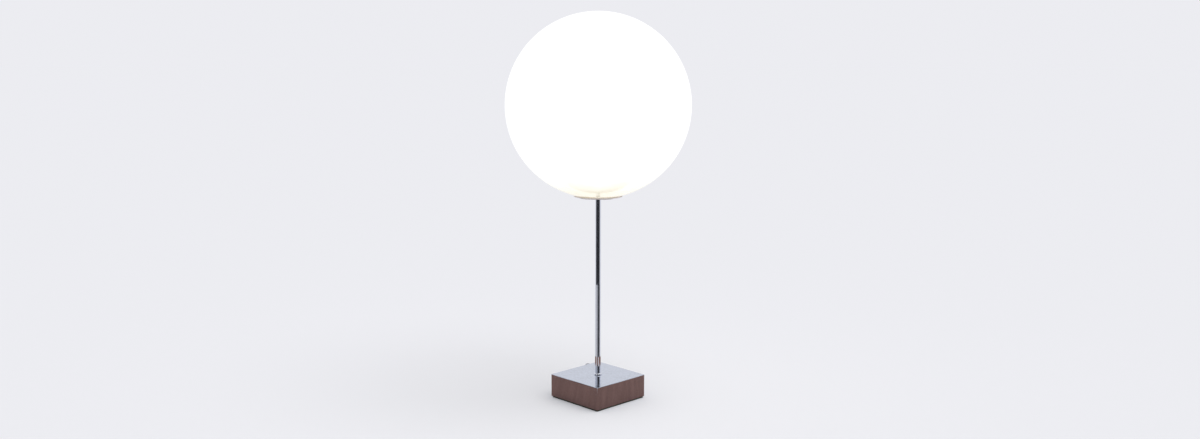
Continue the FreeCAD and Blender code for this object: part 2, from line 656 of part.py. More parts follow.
def switch_terminals():
    """Two screw heads on the back of the switch housing."""
    screws = []
    for side in (-1, 1):
        x = SWITCH_X + side * SWITCH_TERMINAL_SPREAD
        outer = SWITCH_BACK - TERMINAL_HEAD_THICK
        screws.append(rod_y(TERMINAL_HEAD_RADIUS, outer, SWITCH_BACK, x, SWITCH_Z))
    return Part.makeCompound(screws)


def shaft_end():
    return KNOB_BACK + KNOB_SHAFT_DEPTH - PASS_GAP


def switch_shaft():
    return rod_y(SWITCH_SHAFT_RADIUS, SWITCH_FRONT - SWITCH_SHAFT_IN_BODY, shaft_end(), SWITCH_X, SWITCH_Z)


def knob_screw_place():
    return KNOB_BACK + KNOB_SCREW_FROM_END


def switch_knob():
    """The round knob on the shaft, with a side hole for its grub screw."""
    knob = rod(KNOB_RADIUS, 0, KNOB_LENGTH)
    knob = filleted(knob, KNOB_EDGE_RADIUS, lambda edge: at_height(edge, KNOB_LENGTH))
    knob = knob.cut(rod(SWITCH_SHAFT_RADIUS + THREAD_GAP, 0, KNOB_SHAFT_DEPTH))
    knob = upright_to_rear(knob, SWITCH_X, KNOB_BACK, SWITCH_Z)
    side_hole = rod(KNOB_SCREW_RADIUS + THREAD_GAP, SWITCH_Z - KNOB_RADIUS, SWITCH_Z - SWITCH_SHAFT_RADIUS,
                    SWITCH_X, knob_screw_place())
    return knob.cut(side_hole)


def knob_screw():
    top = SWITCH_Z - SWITCH_SHAFT_RADIUS - THREAD_GAP
    return rod(KNOB_SCREW_RADIUS, SWITCH_Z - KNOB_RADIUS + KNOB_SCREW_SINK, top, SWITCH_X, knob_screw_place())


def cord_bushing():
    """The flanged inlet for the supply cord."""
    low = HALF_SIDE - SHELL_WALL - BUSHING_THREAD_INSIDE
    flange = rod(BUSHING_FLANGE_RADIUS, 0, BUSHING_FLANGE_THICK)
    flange = filleted(flange, BUSHING_EDGE_RADIUS, lambda edge: at_height(edge, BUSHING_FLANGE_THICK))
    flange = upright_to_rear(flange, 0, HALF_SIDE, BUSHING_Z)
    barrel = rod_y(BUSHING_THREAD_RADIUS, low, HALF_SIDE, 0, BUSHING_Z)
    bore = rod_y(BUSHING_BORE_RADIUS, low, HALF_SIDE + BUSHING_FLANGE_THICK, 0, BUSHING_Z)
    return flange.fuse(barrel).cut(bore).removeSplitter()


def bushing_nut():
    blank = nut(BUSHING_NUT_FLATS, BUSHING_THREAD_RADIUS + THREAD_GAP, 0, BUSHING_NUT_THICK)
    return upright_to_rear(blank, 0, INNER_HALF - BUSHING_NUT_THICK, BUSHING_Z)


def terminal_block():
    """A two-way block screwed under the weight, where the supply cord's cores end."""
    low = WEIGHT_BOTTOM - BLOCK_HEIGHT
    body = block((BLOCK_X - BLOCK_WIDTH / 2, BLOCK_X + BLOCK_WIDTH / 2),
                 (BLOCK_Y - BLOCK_DEPTH / 2, BLOCK_Y + BLOCK_DEPTH / 2), (low, WEIGHT_BOTTOM))
    return body.cut(rod(BLOCK_SCREW_RADIUS + PASS_GAP, low, WEIGHT_BOTTOM, BLOCK_X, BLOCK_Y))


def block_screw():
    low = WEIGHT_BOTTOM - BLOCK_HEIGHT
    head = rod(BLOCK_SCREW_HEAD_RADIUS, low - BLOCK_SCREW_HEAD_THICK, low, BLOCK_X, BLOCK_Y)
    shank = rod(BLOCK_SCREW_RADIUS, low, WEIGHT_BOTTOM + BLOCK_SCREW_GRIP, BLOCK_X, BLOCK_Y)
    return head.fuse(shank).removeSplitter()


def stem_run(side):
    """A lead's way from under the stem up to its terminal in the lamp holder."""
    x = side * LEAD_SPREAD
    far = side * SOCKET_LEAD_X
    room = CAP_LEDGE - CAP_HUB_TOP
    return [
        (x, 0, LEAD_DEPTH),
        (x, 0, CAP_HUB_TOP + LEAD_SWING_FOOT_SHARE * room),
        (far, 0, CAP_LEDGE - LEAD_SWING_HEAD_SHARE * room),
        (far, 0, terminal_height() - TERMINAL_RADIUS - THREAD_GAP),
    ]


def neutral_lead():
    """From the block straight to the lamp holder."""
    face = BLOCK_Y - BLOCK_DEPTH / 2
    height = WEIGHT_BOTTOM - BLOCK_HEIGHT / 2
    x = BLOCK_X - BLOCK_POLE_SPREAD
    start = [
        (x, face, height),
        (x, face - NEUTRAL_RUN, height),
        (-x, face / 2, LEAD_DEPTH),
    ]
    return lead("neutral_lead", start + stem_run(-1))


def live_lead():
    """From the block to the switch."""
    face = BLOCK_X + BLOCK_WIDTH / 2
    height = WEIGHT_BOTTOM - BLOCK_HEIGHT / 2
    hole_x, hole_y = lead_hole()
    back = SWITCH_BACK - TERMINAL_HEAD_THICK
    x = SWITCH_X + SWITCH_TERMINAL_SPREAD
    return lead("live_lead", [
        (face, BLOCK_Y, height),
        (hole_x + LEAD_HOLE_SPREAD, BLOCK_Y, height),
        (hole_x + LEAD_HOLE_SPREAD, hole_y, height),
        (hole_x + LEAD_HOLE_SPREAD, hole_y, WEIGHT_BOTTOM + SWITCH_POCKET_FLOOR + LEAD_HOLE_RADIUS),
        (x, hole_y, SWITCH_Z),
        (x, back, SWITCH_Z),
    ])


def switched_lead():
    """From the switch back down and up the stem to the lamp holder."""
    hole_x, hole_y = lead_hole()
    back = SWITCH_BACK - TERMINAL_HEAD_THICK
    x = SWITCH_X - SWITCH_TERMINAL_SPREAD
    start = [
        (x, back, SWITCH_Z),
        (x, hole_y, SWITCH_Z),
        (hole_x - LEAD_HOLE_SPREAD, hole_y, WEIGHT_BOTTOM + SWITCH_POCKET_FLOOR + LEAD_HOLE_RADIUS),
        (hole_x - LEAD_HOLE_SPREAD, hole_y, LEAD_DEPTH),
        (hole_x / 2, 0, LEAD_DEPTH),
    ]
    return lead("switched_lead", start + stem_run(1))


def build():
    """Every piece by the name of its node."""
    seat = STEM_THREAD_RADIUS + PASS_GAP
    thread = STEM_THREAD_RADIUS + THREAD_GAP
    gasket_outer = GLOBE_RIM_RADIUS + GASKET_MARGIN
    holder_nut_top = HOLDER_NUT_BOTTOM + HOLDER_NUT_THICK
    PIECES["base_shell"] = base_shell()
    PIECES["base_weight"] = base_weight()
    PIECES["bottom_cover"] = bottom_cover()
    PIECES["felt_pad"] = felt_pad()
    PIECES["cover_screws"] = cover_screws()
    PIECES["cord_bushing"] = cord_bushing()
    PIECES["bushing_nut"] = bushing_nut()
    PIECES["terminal_block"] = terminal_block()
    PIECES["block_screw"] = block_screw()
    PIECES["stem_collar"] = stem_collar()
    PIECES["stem_tube"] = stem_tube()
    PIECES["stem_washer"] = ring(WASHER_RADIUS, seat, STEM_NUT_TOP, NUT_SEAT)
    PIECES["stem_nut"] = nut(STEM_NUT_FLATS, thread, STEM_NUT_TOP - STEM_NUT_THICK, STEM_NUT_TOP)
    PIECES["globe_holder"] = globe_holder()
    PIECES["holder_gasket"] = ring(gasket_outer, GLOBE_MOUTH_RADIUS, HOLDER_TOP, GASKET_TOP)
    PIECES["holder_washer"] = ring(WASHER_RADIUS, seat, HOLDER_TOP, HOLDER_NUT_BOTTOM)
    PIECES["holder_nut"] = nut(HOLDER_NUT_FLATS, thread, HOLDER_NUT_BOTTOM, holder_nut_top)
    PIECES["socket_cap"] = socket_cap()
    PIECES["cap_set_screw"] = cap_set_screw()
    PIECES["socket_shell"] = socket_shell()
    PIECES["socket_liner"] = socket_liner()
    PIECES["socket_body"] = socket_body()
    PIECES["socket_terminals"] = socket_terminals()
    PIECES["socket_screw_shell"] = socket_screw_shell()
    PIECES["socket_contact"] = socket_contact()
    PIECES["bulb_glass"] = bulb_glass()
    PIECES["bulb_cap"] = bulb_cap()
    PIECES["bulb_insulator"] = bulb_insulator()
    PIECES["bulb_contact"] = bulb_contact()
    PIECES["bulb_mount"] = bulb_mount()
    PIECES["bulb_lead_wires"] = bulb_lead_wires()
    PIECES["bulb_filament"] = bulb_filament()
    PIECES["globe_glass"] = globe_glass()
    PIECES["switch_body"] = switch_body()
    PIECES["switch_washer"] = switch_washer()
    PIECES["switch_bushing"] = switch_bushing()
    PIECES["switch_nut"] = switch_nut()
    PIECES["switch_terminals"] = switch_terminals()
    PIECES["switch_shaft"] = switch_shaft()
    PIECES["switch_knob"] = switch_knob()
    PIECES["knob_screw"] = knob_screw()
    PIECES["neutral_lead"] = neutral_lead()
    PIECES["live_lead"] = live_lead()
    PIECES["switched_lead"] = switched_lead()


def write_pieces():
    os.makedirs("parts", exist_ok=True)
    for name, shape in PIECES.items():
        shape.exportStep("parts/" + name + ".step")
        solids = [solid for solid in shape.Solids if solid.isValid()]
        print(name, "solids", len(solids), "volume", round(shape.Volume, 1))


build()
write_pieces()
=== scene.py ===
# %% [markdown]
# # A glass globe table lamp
# The real lamp is a large ball of opal glass on a slim chrome tube, which stands in a square chrome box.
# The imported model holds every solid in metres, with the lamp's foot at height zero. The sizes could be
# measured again from drawings, but loading them is safer: each piece is then made where its solid is.

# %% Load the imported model
import json
import math

import bmesh
import bpy
from mathutils import Matrix, Vector


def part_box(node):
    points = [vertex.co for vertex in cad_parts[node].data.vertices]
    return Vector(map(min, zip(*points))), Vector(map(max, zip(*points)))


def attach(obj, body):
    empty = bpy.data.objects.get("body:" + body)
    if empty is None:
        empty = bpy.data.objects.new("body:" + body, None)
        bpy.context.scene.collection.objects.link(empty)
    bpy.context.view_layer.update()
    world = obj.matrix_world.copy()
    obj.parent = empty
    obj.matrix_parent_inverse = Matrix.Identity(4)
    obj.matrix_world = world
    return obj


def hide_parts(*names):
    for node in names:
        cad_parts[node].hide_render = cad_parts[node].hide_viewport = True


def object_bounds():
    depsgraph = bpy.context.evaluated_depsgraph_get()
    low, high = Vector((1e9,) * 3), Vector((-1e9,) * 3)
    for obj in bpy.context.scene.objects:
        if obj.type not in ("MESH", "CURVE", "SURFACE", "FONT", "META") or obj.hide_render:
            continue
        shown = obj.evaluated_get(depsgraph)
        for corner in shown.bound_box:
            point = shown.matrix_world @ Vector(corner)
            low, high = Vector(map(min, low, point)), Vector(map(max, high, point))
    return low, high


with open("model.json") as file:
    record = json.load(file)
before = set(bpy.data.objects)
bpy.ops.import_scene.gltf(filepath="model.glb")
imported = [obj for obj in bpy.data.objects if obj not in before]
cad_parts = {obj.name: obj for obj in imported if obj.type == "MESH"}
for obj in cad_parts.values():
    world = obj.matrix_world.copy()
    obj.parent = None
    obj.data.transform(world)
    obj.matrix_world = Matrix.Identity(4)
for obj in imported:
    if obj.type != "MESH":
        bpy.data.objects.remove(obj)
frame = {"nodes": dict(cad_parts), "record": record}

scene = bpy.context.scene
cad_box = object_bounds()
cad_sides = [round(side, 4) for side in cad_box[1] - cad_box[0]]
print("solids loaded:", len(frame["nodes"]), "in a box of", cad_sides)

# %% [markdown]
# ## The camera
# The lamp was photographed from a little above the middle of its stem, with one corner of the base towards
# the viewer. A camera could be aimed by eye, but here its direction, distance and lens come from the base's
# corners and the globe's outline, so that the render lies on the photograph.

# %% Aim the camera
AZIMUTH = math.radians(-44.29)
ELEVATION = math.radians(8.595)
PAN = math.radians(-0.1)
ROLL = math.radians(0.117)
AIM_HEIGHT = 0.3559
DISTANCE = 2.1255
LENS, SENSOR = 33.0, 36.0

level = math.cos(ELEVATION)
back = Vector((math.sin(AZIMUTH) * level, -math.cos(AZIMUTH) * level, math.sin(ELEVATION)))
place = Vector((0, 0, AIM_HEIGHT)) + DISTANCE * back
turn = Matrix.Rotation(PAN, 3, "Z")
back = turn @ back
right = turn @ Vector((math.cos(AZIMUTH), math.sin(AZIMUTH), 0))
up = back.cross(right)
rolled_right = math.cos(ROLL) * right + math.sin(ROLL) * up
rolled_up = math.cos(ROLL) * up - math.sin(ROLL) * right
camera_data = bpy.data.cameras.new("camera")
camera_data.lens = LENS
camera_data.sensor_width = SENSOR
camera = bpy.data.objects.new("camera", camera_data)
camera.matrix_world = Matrix((rolled_right, rolled_up, back)).transposed().to_4x4()
camera.location = place
scene.collection.objects.link(camera)
scene.camera = camera
scene.view_settings.view_transform = "Standard"
print("camera at", [round(value, 3) for value in place])

# %% [markdown]
# ## Small helpers for shader nodes
# Every finish below is a small network of nodes. Writing out each node and link would bury the idea, so one
# helper makes a node with its settings and inputs, and three more name the sums that come up most.

# %% Node helpers
def add(tree, kind, inputs=None, **settings):
    """One shader node. Inputs are given by name or number, as a value or as another node's output."""
    made = tree.nodes.new("ShaderNode" + kind)
    for label, value in settings.items():
        setattr(made, label, value)
    for label, value in (inputs or {}).items():
        if isinstance(value, bpy.types.NodeSocket):
            tree.links.new(value, made.inputs[label])
        else:
            made.inputs[label].default_value = value
    return made


def maths(tree, operation, first, second):
    return add(tree, "Math", {0: first, 1: second}, operation=operation).outputs[0]


def tinted(tree, share, first, second):
    """One colour turning into another as the share goes from 0 to 1."""
    return add(tree, "Mix", {0: share, 6: first, 7: second}, data_type="RGBA").outputs[2]


def spread(tree, value, low, high, to_low=0.0, to_high=1.0):
    """Stretches the part of a pattern between two values to a new range."""
    inputs = {"Value": value, "From Min": low, "From Max": high, "To Min": to_low, "To Max": to_high}
    return add(tree, "MapRange", inputs).outputs[0]


def rgb(red, green, blue):
    return (red, green, blue, 1.0)


print("node helpers ready")

# %% [markdown]
# ## The studio
# The lamp stands on a wide pale floor that runs out to a backdrop of the same pale tone, so no horizon
# shows. A curved paper sweep would do this too, but it has to be cut for one camera. Here the world's colour
# is the backdrop for every direction, and mirrors see it as the camera does. Plain light comes from the
# world and from one very soft sun, together about as strong as a white sheet is bright.

# %% Floor and backdrop
PALE = rgb(0.839, 0.842, 0.880)
WORLD_LIGHT = 0.72
SUN_HEIGHT = math.radians(66)
SUN_BEARING = math.radians(20)
SUN_SPREAD = math.radians(55)
FLOOR_RADIUS = 60

world = bpy.data.worlds.new("studio")
world.use_nodes = True
scene.world = world
tree = world.node_tree
tree.nodes.clear()
rays = add(tree, "LightPath").outputs
seen = maths(tree, "ADD", rays["Is Camera Ray"], rays["Is Glossy Ray"])
seen = maths(tree, "MINIMUM", maths(tree, "ADD", seen, rays["Is Transmission Ray"]), 1.0)
light = add(tree, "Background", {"Color": rgb(1.0, 1.0, 1.0), "Strength": WORLD_LIGHT})
backdrop = add(tree, "Background", {"Color": PALE, "Strength": 1.0})
both = add(tree, "MixShader", {0: seen, 1: light.outputs[0], 2: backdrop.outputs[0]})
add(tree, "OutputWorld", {"Surface": both.outputs[0]})

floor_build = bmesh.new()
bmesh.ops.create_circle(floor_build, cap_ends=True, segments=128, radius=FLOOR_RADIUS)
floor_mesh = bpy.data.meshes.new("floor")
floor_build.to_mesh(floor_mesh)
floor_build.free()
floor = bpy.data.objects.new("floor", floor_mesh)
scene.collection.objects.link(floor)
paper = bpy.data.materials.new("floor_paper")
paper.use_nodes = True
paper_shader = paper.node_tree.nodes["Principled BSDF"]
paper_shader.inputs["Base Color"].default_value = PALE
paper_shader.inputs["Roughness"].default_value = 1.0
paper_shader.inputs["Specular IOR Level"].default_value = 0.0
floor_mesh.materials.append(paper)

sun_data = bpy.data.lights.new("sun", "SUN")
sun_data.energy = (1.0 - WORLD_LIGHT) * math.pi / math.sin(SUN_HEIGHT)
sun_data.angle = SUN_SPREAD
sun = bpy.data.objects.new("sun", sun_data)
sun.rotation_euler = (math.pi / 2 - SUN_HEIGHT, 0, SUN_BEARING)
scene.collection.objects.link(sun)
print("sun strength", round(sun_data.energy, 3))

# %% [markdown]
# Chrome has hardly a colour of its own: it shows the room. In a room that is pale all round, a chrome tube
# turns into a pale stripe and a chrome box looks like grey paint, so a photographer puts dark cards round
# them. The cards here are seen by mirrors only: they block no light and cast no shade, so all they give the
# chrome is a painted reflection. Curved ones stand round the front of the lamp and paint the stem's dark
# core between two bright rims into its reflection. Warm dark mats lie unseen on the floor all round and
# paint the box's brown sides as a reflection, though the floor beside it is pale, while from the front its
# top still mirrors the pale backdrop. Gaps between the outer cards and between the outer mats put fine
# painted streaks of light into the lower stem. The cards' colour is streaked from left to right, which
# paints streaks into the reflections, so that the chrome doesn't pass for flat paint.

# %% Dark cards for the chrome to mirror
STREAK_SIZE = (0.3, 0.006, 0.3)
STREAK_SHARES = (0.88, 1.12)
CARD_STEPS = 24


def dark_stage(name, build, shade):
    """Puts a sheet of card on the stage, dull and dark, where only mirrors see it, so its colour is a painted
    reflection.
    """
    mesh = bpy.data.meshes.new(name)
    build.to_mesh(mesh)
    build.free()
    card = bpy.data.objects.new(name, mesh)
    scene.collection.objects.link(card)
    card.visible_camera = card.visible_diffuse = card.visible_shadow = card.visible_transmission = False
    dull = bpy.data.materials.new(name)
    dull.use_nodes = True
    tree, paint = dull.node_tree, dull.node_tree.nodes["Principled BSDF"].inputs
    paint["Roughness"].default_value = 1.0
    where = tree.nodes.new("ShaderNodeTexCoord").outputs["Object"]
    along = add(tree, "Mapping", {"Vector": where, "Rotation": (0, 0, AZIMUTH), "Scale": STREAK_SIZE},
                vector_type="TEXTURE").outputs[0]
    # painted reflection: streaks in the card's colour show in the chrome as streaks of reflection
    streaks = add(tree, "TexNoise", {"Vector": along, "Scale": 1.0, "Detail": 3.0}).outputs[0]
    darker, lighter = [rgb(*[share * value for value in shade[:3]]) for share in STREAK_SHARES]
    streaked_reflection = tinted(tree, spread(tree, streaks, 0.3, 0.7), darker, lighter)
    tree.links.new(streaked_reflection, paint["Base Color"])
    mesh.materials.append(dull)


def bent_card(name, first, last, foot, head, shade):
    """A card bent round the lamp from one bearing to another, 0 degrees being towards the camera.
    Foot and head are the (radius, height) of its two long edges, so it can stand or lie."""
    build = bmesh.new()
    columns = []
    for step in range(CARD_STEPS + 1):
        bearing = AZIMUTH + math.radians(first + (last - first) * step / CARD_STEPS)
        out = Vector((math.sin(bearing), -math.cos(bearing), 0))
        edges = [out * radius + Vector((0, 0, height)) for radius, height in (foot, head)]
        columns.append([build.verts.new(edge) for edge in edges])
    for left, following in zip(columns, columns[1:]):
        build.faces.new((left[0], following[0], following[1], left[1]))
    dark_stage(name, build, shade)


MAT_MIDDLE, MAT_OVERLAP, MAT_REACH, MAT_LIFT = 0.19, 0.006, 0.30, 0.0005
CARD_SPLIT, CARD_TOP = 0.165, 0.362
BLACK_CARD, GREY_CARD = rgb(0.035, 0.036, 0.042), rgb(0.20, 0.20, 0.215)
# painted reflection: the warm brown that the box's chrome sides mirror, from mats that no camera ray sees
WARM_REFLECTION_MAT = rgb(0.225, 0.118, 0.094)
# painted reflection: the black and grey cards, seen only by mirrors, give the stem its dark core and bright
# rims
bent_card("high_card", -88, 72, (MAT_REACH, CARD_SPLIT), (MAT_REACH, CARD_TOP), BLACK_CARD)
bent_card("middle_card", -30, 18, (MAT_REACH, MAT_LIFT), (MAT_REACH, CARD_SPLIT), GREY_CARD)
for side, (first, last) in enumerate(((-84, -64), (18, 76))):
    bent_card(f"low_card_{side}", first, last, (MAT_REACH, MAT_LIFT), (MAT_REACH, CARD_SPLIT), BLACK_CARD)
bent_card("middle_reflection_mat", -180, 180, (0.0, MAT_LIFT), (MAT_MIDDLE + MAT_OVERLAP, MAT_LIFT), WARM_REFLECTION_MAT)
for side, (first, last) in enumerate(((-180, -58), (-36, 18), (40, 180))):
    bent_card(f"warm_reflection_mat_{side}", first, last, (MAT_MIDDLE, MAT_LIFT), (MAT_REACH, MAT_LIFT), WARM_REFLECTION_MAT)
print("dark cards reach", MAT_REACH, "m out and", CARD_TOP, "m up")

# %% [markdown]
# ## Shared surface effects
# Smudges, fine scratches, worn edges, settled dust and grain turn up on many pieces at different strengths.
# They could be copied into each material, but a change would then have to be made many times. Each effect is
# a node group with named sockets, built once. A group gives out only masks and heights, and the material
# decides what they do.

# %% Start a node group
def new_group(name, inputs, outputs):
    """An empty group and its two ends. Inputs are (label, socket, default)."""
    group = bpy.data.node_groups.new(name, "ShaderNodeTree")
    for label, kind, default in inputs:
        socket = group.interface.new_socket(label, in_out="INPUT", socket_type="NodeSocket" + kind)
        socket.default_value = default
    for label in outputs:
        group.interface.new_socket(label, in_out="OUTPUT", socket_type="NodeSocketFloat")
    entry = group.nodes.new("NodeGroupInput").outputs
    leaving = group.nodes.new("NodeGroupOutput").inputs
    return group, entry, leaving


WHERE = ("Vector", "Vector", (0, 0, 0))
AMOUNT = ("Amount", "Float", 0.5)
print("group helper ready")

# %% [markdown]
# Handled chrome is never clean: soft cloudy patches of skin grease dull its mirror. One cloudy noise,
# cut so that only its brighter patches stay, looks like them.

# %% Cloudy smudges
smudges, entry, leaving = new_group("cloudy_smudges", [WHERE, ("Size", "Float", 40.0), AMOUNT], ["Mask"])
clouds = add(smudges, "TexNoise", {"Vector": entry["Vector"], "Scale": entry["Size"], "Detail": 5.0,
                                   "Roughness": 0.62, "Distortion": 0.6}).outputs[0]
mask = spread(smudges, clouds, 0.46, 0.74)
smudges.links.new(maths(smudges, "MULTIPLY", mask, entry["Amount"]), leaving["Mask"])
print(smudges.name, "gives", [socket.name for socket in leaving if socket.name])

# %% [markdown]
# Polishing and dusting leave hair lines that all run one way. Stretching a noise along one axis draws them,
# and the Stretch input says which way they run.

# %% Fine scratches
scratches, entry, leaving = new_group(
    "fine_scratches", [WHERE, ("Stretch", "Vector", (900, 900, 20)), AMOUNT], ["Mask", "Height"])
drawn = add(scratches, "VectorMath", {0: entry["Vector"], 1: entry["Stretch"]}, operation="MULTIPLY")
lines = add(scratches, "TexNoise", {"Vector": drawn.outputs[0], "Scale": 1.0, "Detail": 3.0}).outputs[0]
mask = spread(scratches, lines, 0.55, 0.75)
scratches.links.new(maths(scratches, "MULTIPLY", mask, entry["Amount"]), leaving["Mask"])
scratches.links.new(maths(scratches, "MULTIPLY", lines, entry["Amount"]), leaving["Height"])
print(scratches.name, "ready")

# %% [markdown]
# Edges lose their finish first. Pointiness is high where the mesh is sharp, so it finds the edges, and a
# noise breaks the line up, because real wear is uneven.

# %% Edge wear
edge_wear, entry, leaving = new_group("edge_wear", [WHERE, AMOUNT], ["Mask"])
sharpness = add(edge_wear, "NewGeometry").outputs["Pointiness"]
patches = add(edge_wear, "TexNoise", {"Vector": entry["Vector"], "Scale": 350.0, "Detail": 4.0}).outputs[0]
edge = spread(edge_wear, sharpness, 0.51, 0.58)
broken = maths(edge_wear, "MULTIPLY", edge, spread(edge_wear, patches, 0.35, 0.65))
edge_wear.links.new(maths(edge_wear, "MULTIPLY", broken, entry["Amount"]), leaving["Mask"])
print(edge_wear.name, "ready")

# %% [markdown]
# Dust lies only on what looks up. The height of the surface's normal gives that, and a fine noise makes it
# lie in specks.

# %% Settled dust
dust, entry, leaving = new_group("settled_dust", [WHERE, AMOUNT], ["Mask"])
facing = add(dust, "SeparateXYZ", {0: add(dust, "NewGeometry").outputs["Normal"]}).outputs["Z"]
specks = add(dust, "TexNoise", {"Vector": entry["Vector"], "Scale": 700.0, "Detail": 5.0}).outputs[0]
lying = maths(dust, "MULTIPLY", spread(dust, facing, 0.4, 1.0), spread(dust, specks, 0.45, 0.8))
dust.links.new(maths(dust, "MULTIPLY", lying, entry["Amount"]), leaving["Mask"])
print(dust.name, "ready")

# %% [markdown]
# Cast iron, felt, fibre board and moulded plastic all have a grain that differs in size and direction only.
# Two noises of different size, added up, give its height, and the coarse one gives a tone to shade with.

# %% Grain
grain, entry, leaving = new_group(
    "grain", [WHERE, ("Stretch", "Vector", (400, 400, 400))], ["Tone", "Height"])
drawn = add(grain, "VectorMath", {0: entry["Vector"], 1: entry["Stretch"]}, operation="MULTIPLY").outputs[0]
coarse = add(grain, "TexNoise", {"Vector": drawn, "Scale": 1.0, "Detail": 4.0}).outputs[0]
fine = add(grain, "TexNoise", {"Vector": drawn, "Scale": 5.0, "Detail": 2.0}).outputs[0]
grain.links.new(spread(grain, coarse, 0.3, 0.7), leaving["Tone"])
grain.links.new(maths(grain, "ADD", coarse, maths(grain, "MULTIPLY", fine, 0.35)), leaving["Height"])
print(grain.name, "ready")

# %% [markdown]
# ## Finishes
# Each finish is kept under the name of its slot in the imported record. A finish is one Principled shader
# with the groups placed round it. The shader itself stays in the material, so that it can be exported.

# %% Start a finish
finishes = {}


def new_finish(slot, roughness, **plain):
    """A material for a slot, and what the nodes round its shader need."""
    finish = bpy.data.materials.new(slot)
    finish.use_nodes = True
    finishes[slot] = finish
    tree = finish.node_tree
    shader = tree.nodes["Principled BSDF"]
    shader.inputs["Roughness"].default_value = roughness
    for label, value in plain.items():
        shader.inputs[label.replace("_", " ")].default_value = value
    return tree, shader, tree.nodes.new("ShaderNodeTexCoord").outputs["Object"]


def use(tree, group, **inputs):
    """Places a group in a material, each input by its label."""
    return add(tree, "Group", inputs, node_tree=group).outputs


def raised(tree, shader, height, depth):
    """Bumps the surface by a height, its depth in millimetres."""
    bump = add(tree, "Bump", {"Height": height, "Strength": 1.0, "Distance": depth / 1000})
    tree.links.new(bump.outputs["Normal"], shader.inputs["Normal"])


print("finish helpers ready")

# %% [markdown]
# Plated and bare metals differ in colour, polish and the way their hair lines run, so one function makes
# them all. Smudges and scratches dull the mirror by raising its roughness and tinting it, worn edges shine,
# and dust greys what looks up. A long, shallow wave in the bump keeps a large mirror from being perfect.

# %% Metals
DUST_ON_METAL = rgb(0.55, 0.54, 0.52)
EDGE_SHINE = 1.25
SOILED_ROUGHNESS, DUSTY_ROUGHNESS = 0.16, 0.3


def metal(slot, bright, dull, roughness, size=40.0, smudge=0.5, stretch=(900, 900, 20), scratch=0.4,
          wear=0.5, dusty=0.3, wave=0.0, depth=0.01):
    tree, shader, where = new_finish(slot, roughness, Metallic=1.0)
    cloudy = use(tree, smudges, Vector=where, Size=size, Amount=smudge)["Mask"]
    hair = use(tree, scratches, Vector=where, Stretch=stretch, Amount=scratch)
    edges = use(tree, edge_wear, Vector=where, Amount=wear)["Mask"]
    grey = use(tree, dust, Vector=where, Amount=dusty)["Mask"]
    soiled = maths(tree, "MAXIMUM", cloudy, hair["Mask"])
    colour = tinted(tree, soiled, rgb(*bright), rgb(*dull))
    colour = tinted(tree, edges, colour, rgb(*[min(1.0, EDGE_SHINE * value) for value in bright]))
    colour = tinted(tree, grey, colour, DUST_ON_METAL)
    tree.links.new(colour, shader.inputs["Base Color"])
    rough = maths(tree, "ADD", maths(tree, "MULTIPLY", soiled, SOILED_ROUGHNESS), roughness)
    rough = maths(tree, "ADD", rough, maths(tree, "MULTIPLY", grey, DUSTY_ROUGHNESS))
    tree.links.new(rough, shader.inputs["Roughness"])
    height = hair["Height"]
    if wave:
        swell = add(tree, "TexNoise", {"Vector": where, "Scale": 14.0, "Detail": 1.0}).outputs[0]
        height = maths(tree, "ADD", height, maths(tree, "MULTIPLY", swell, wave))
    raised(tree, shader, height, depth)


metal("base_chrome", (0.575, 0.615, 0.695), (0.49, 0.52, 0.58), 0.03, size=26.0, smudge=0.7,
      stretch=(700, 700, 9), scratch=0.35, wave=14.0, depth=0.004)
metal("stem_chrome", (0.72, 0.74, 0.80), (0.58, 0.60, 0.66), 0.025, size=60.0, smudge=0.4,
      stretch=(500, 500, 8), scratch=0.25, depth=0.002)
metal("holder_chrome", (0.86, 0.83, 0.86), (0.74, 0.71, 0.74), 0.10, size=70.0, stretch=(90, 90, 900))
metal("knob_chrome", (0.55, 0.56, 0.59), (0.40, 0.41, 0.43), 0.20, size=150.0, stretch=(900, 60, 900))
metal("plated_steel", (0.62, 0.62, 0.58), (0.42, 0.41, 0.36), 0.32, size=220.0, smudge=0.8, scratch=0.6)
metal("socket_brass", (0.80, 0.60, 0.27), (0.52, 0.36, 0.15), 0.22, size=90.0, smudge=0.7,
      stretch=(60, 60, 1500))
metal("terminal_brass", (0.72, 0.53, 0.24), (0.45, 0.31, 0.14), 0.30, size=200.0, stretch=(900, 900, 900))
metal("nickel_brass", (0.66, 0.62, 0.56), (0.48, 0.44, 0.37), 0.22, size=160.0, stretch=(900, 80, 900))
metal("screw_shell_aluminium", (0.76, 0.76, 0.75), (0.58, 0.58, 0.57), 0.30, size=120.0,
      stretch=(60, 60, 1200))
metal("bulb_cap_aluminium", (0.74, 0.74, 0.74), (0.56, 0.56, 0.56), 0.34, size=140.0,
      stretch=(60, 60, 1500), scratch=0.6)
metal("solder", (0.60, 0.60, 0.61), (0.40, 0.40, 0.41), 0.42, size=500.0, smudge=0.9, scratch=0.2)
metal("nickel_wire", (0.58, 0.55, 0.50), (0.34, 0.32, 0.30), 0.30, size=400.0)
metal("tungsten", (0.30, 0.30, 0.32), (0.16, 0.16, 0.18), 0.45, size=600.0)
print("metals made:", len(finishes))

# %% [markdown]
# The hidden weight is rough cast iron. Its skin is pitted by the sand of the mould and has a bloom of rust,
# so a deep grain shapes it and the same grain's tone turns it from grey to brown.

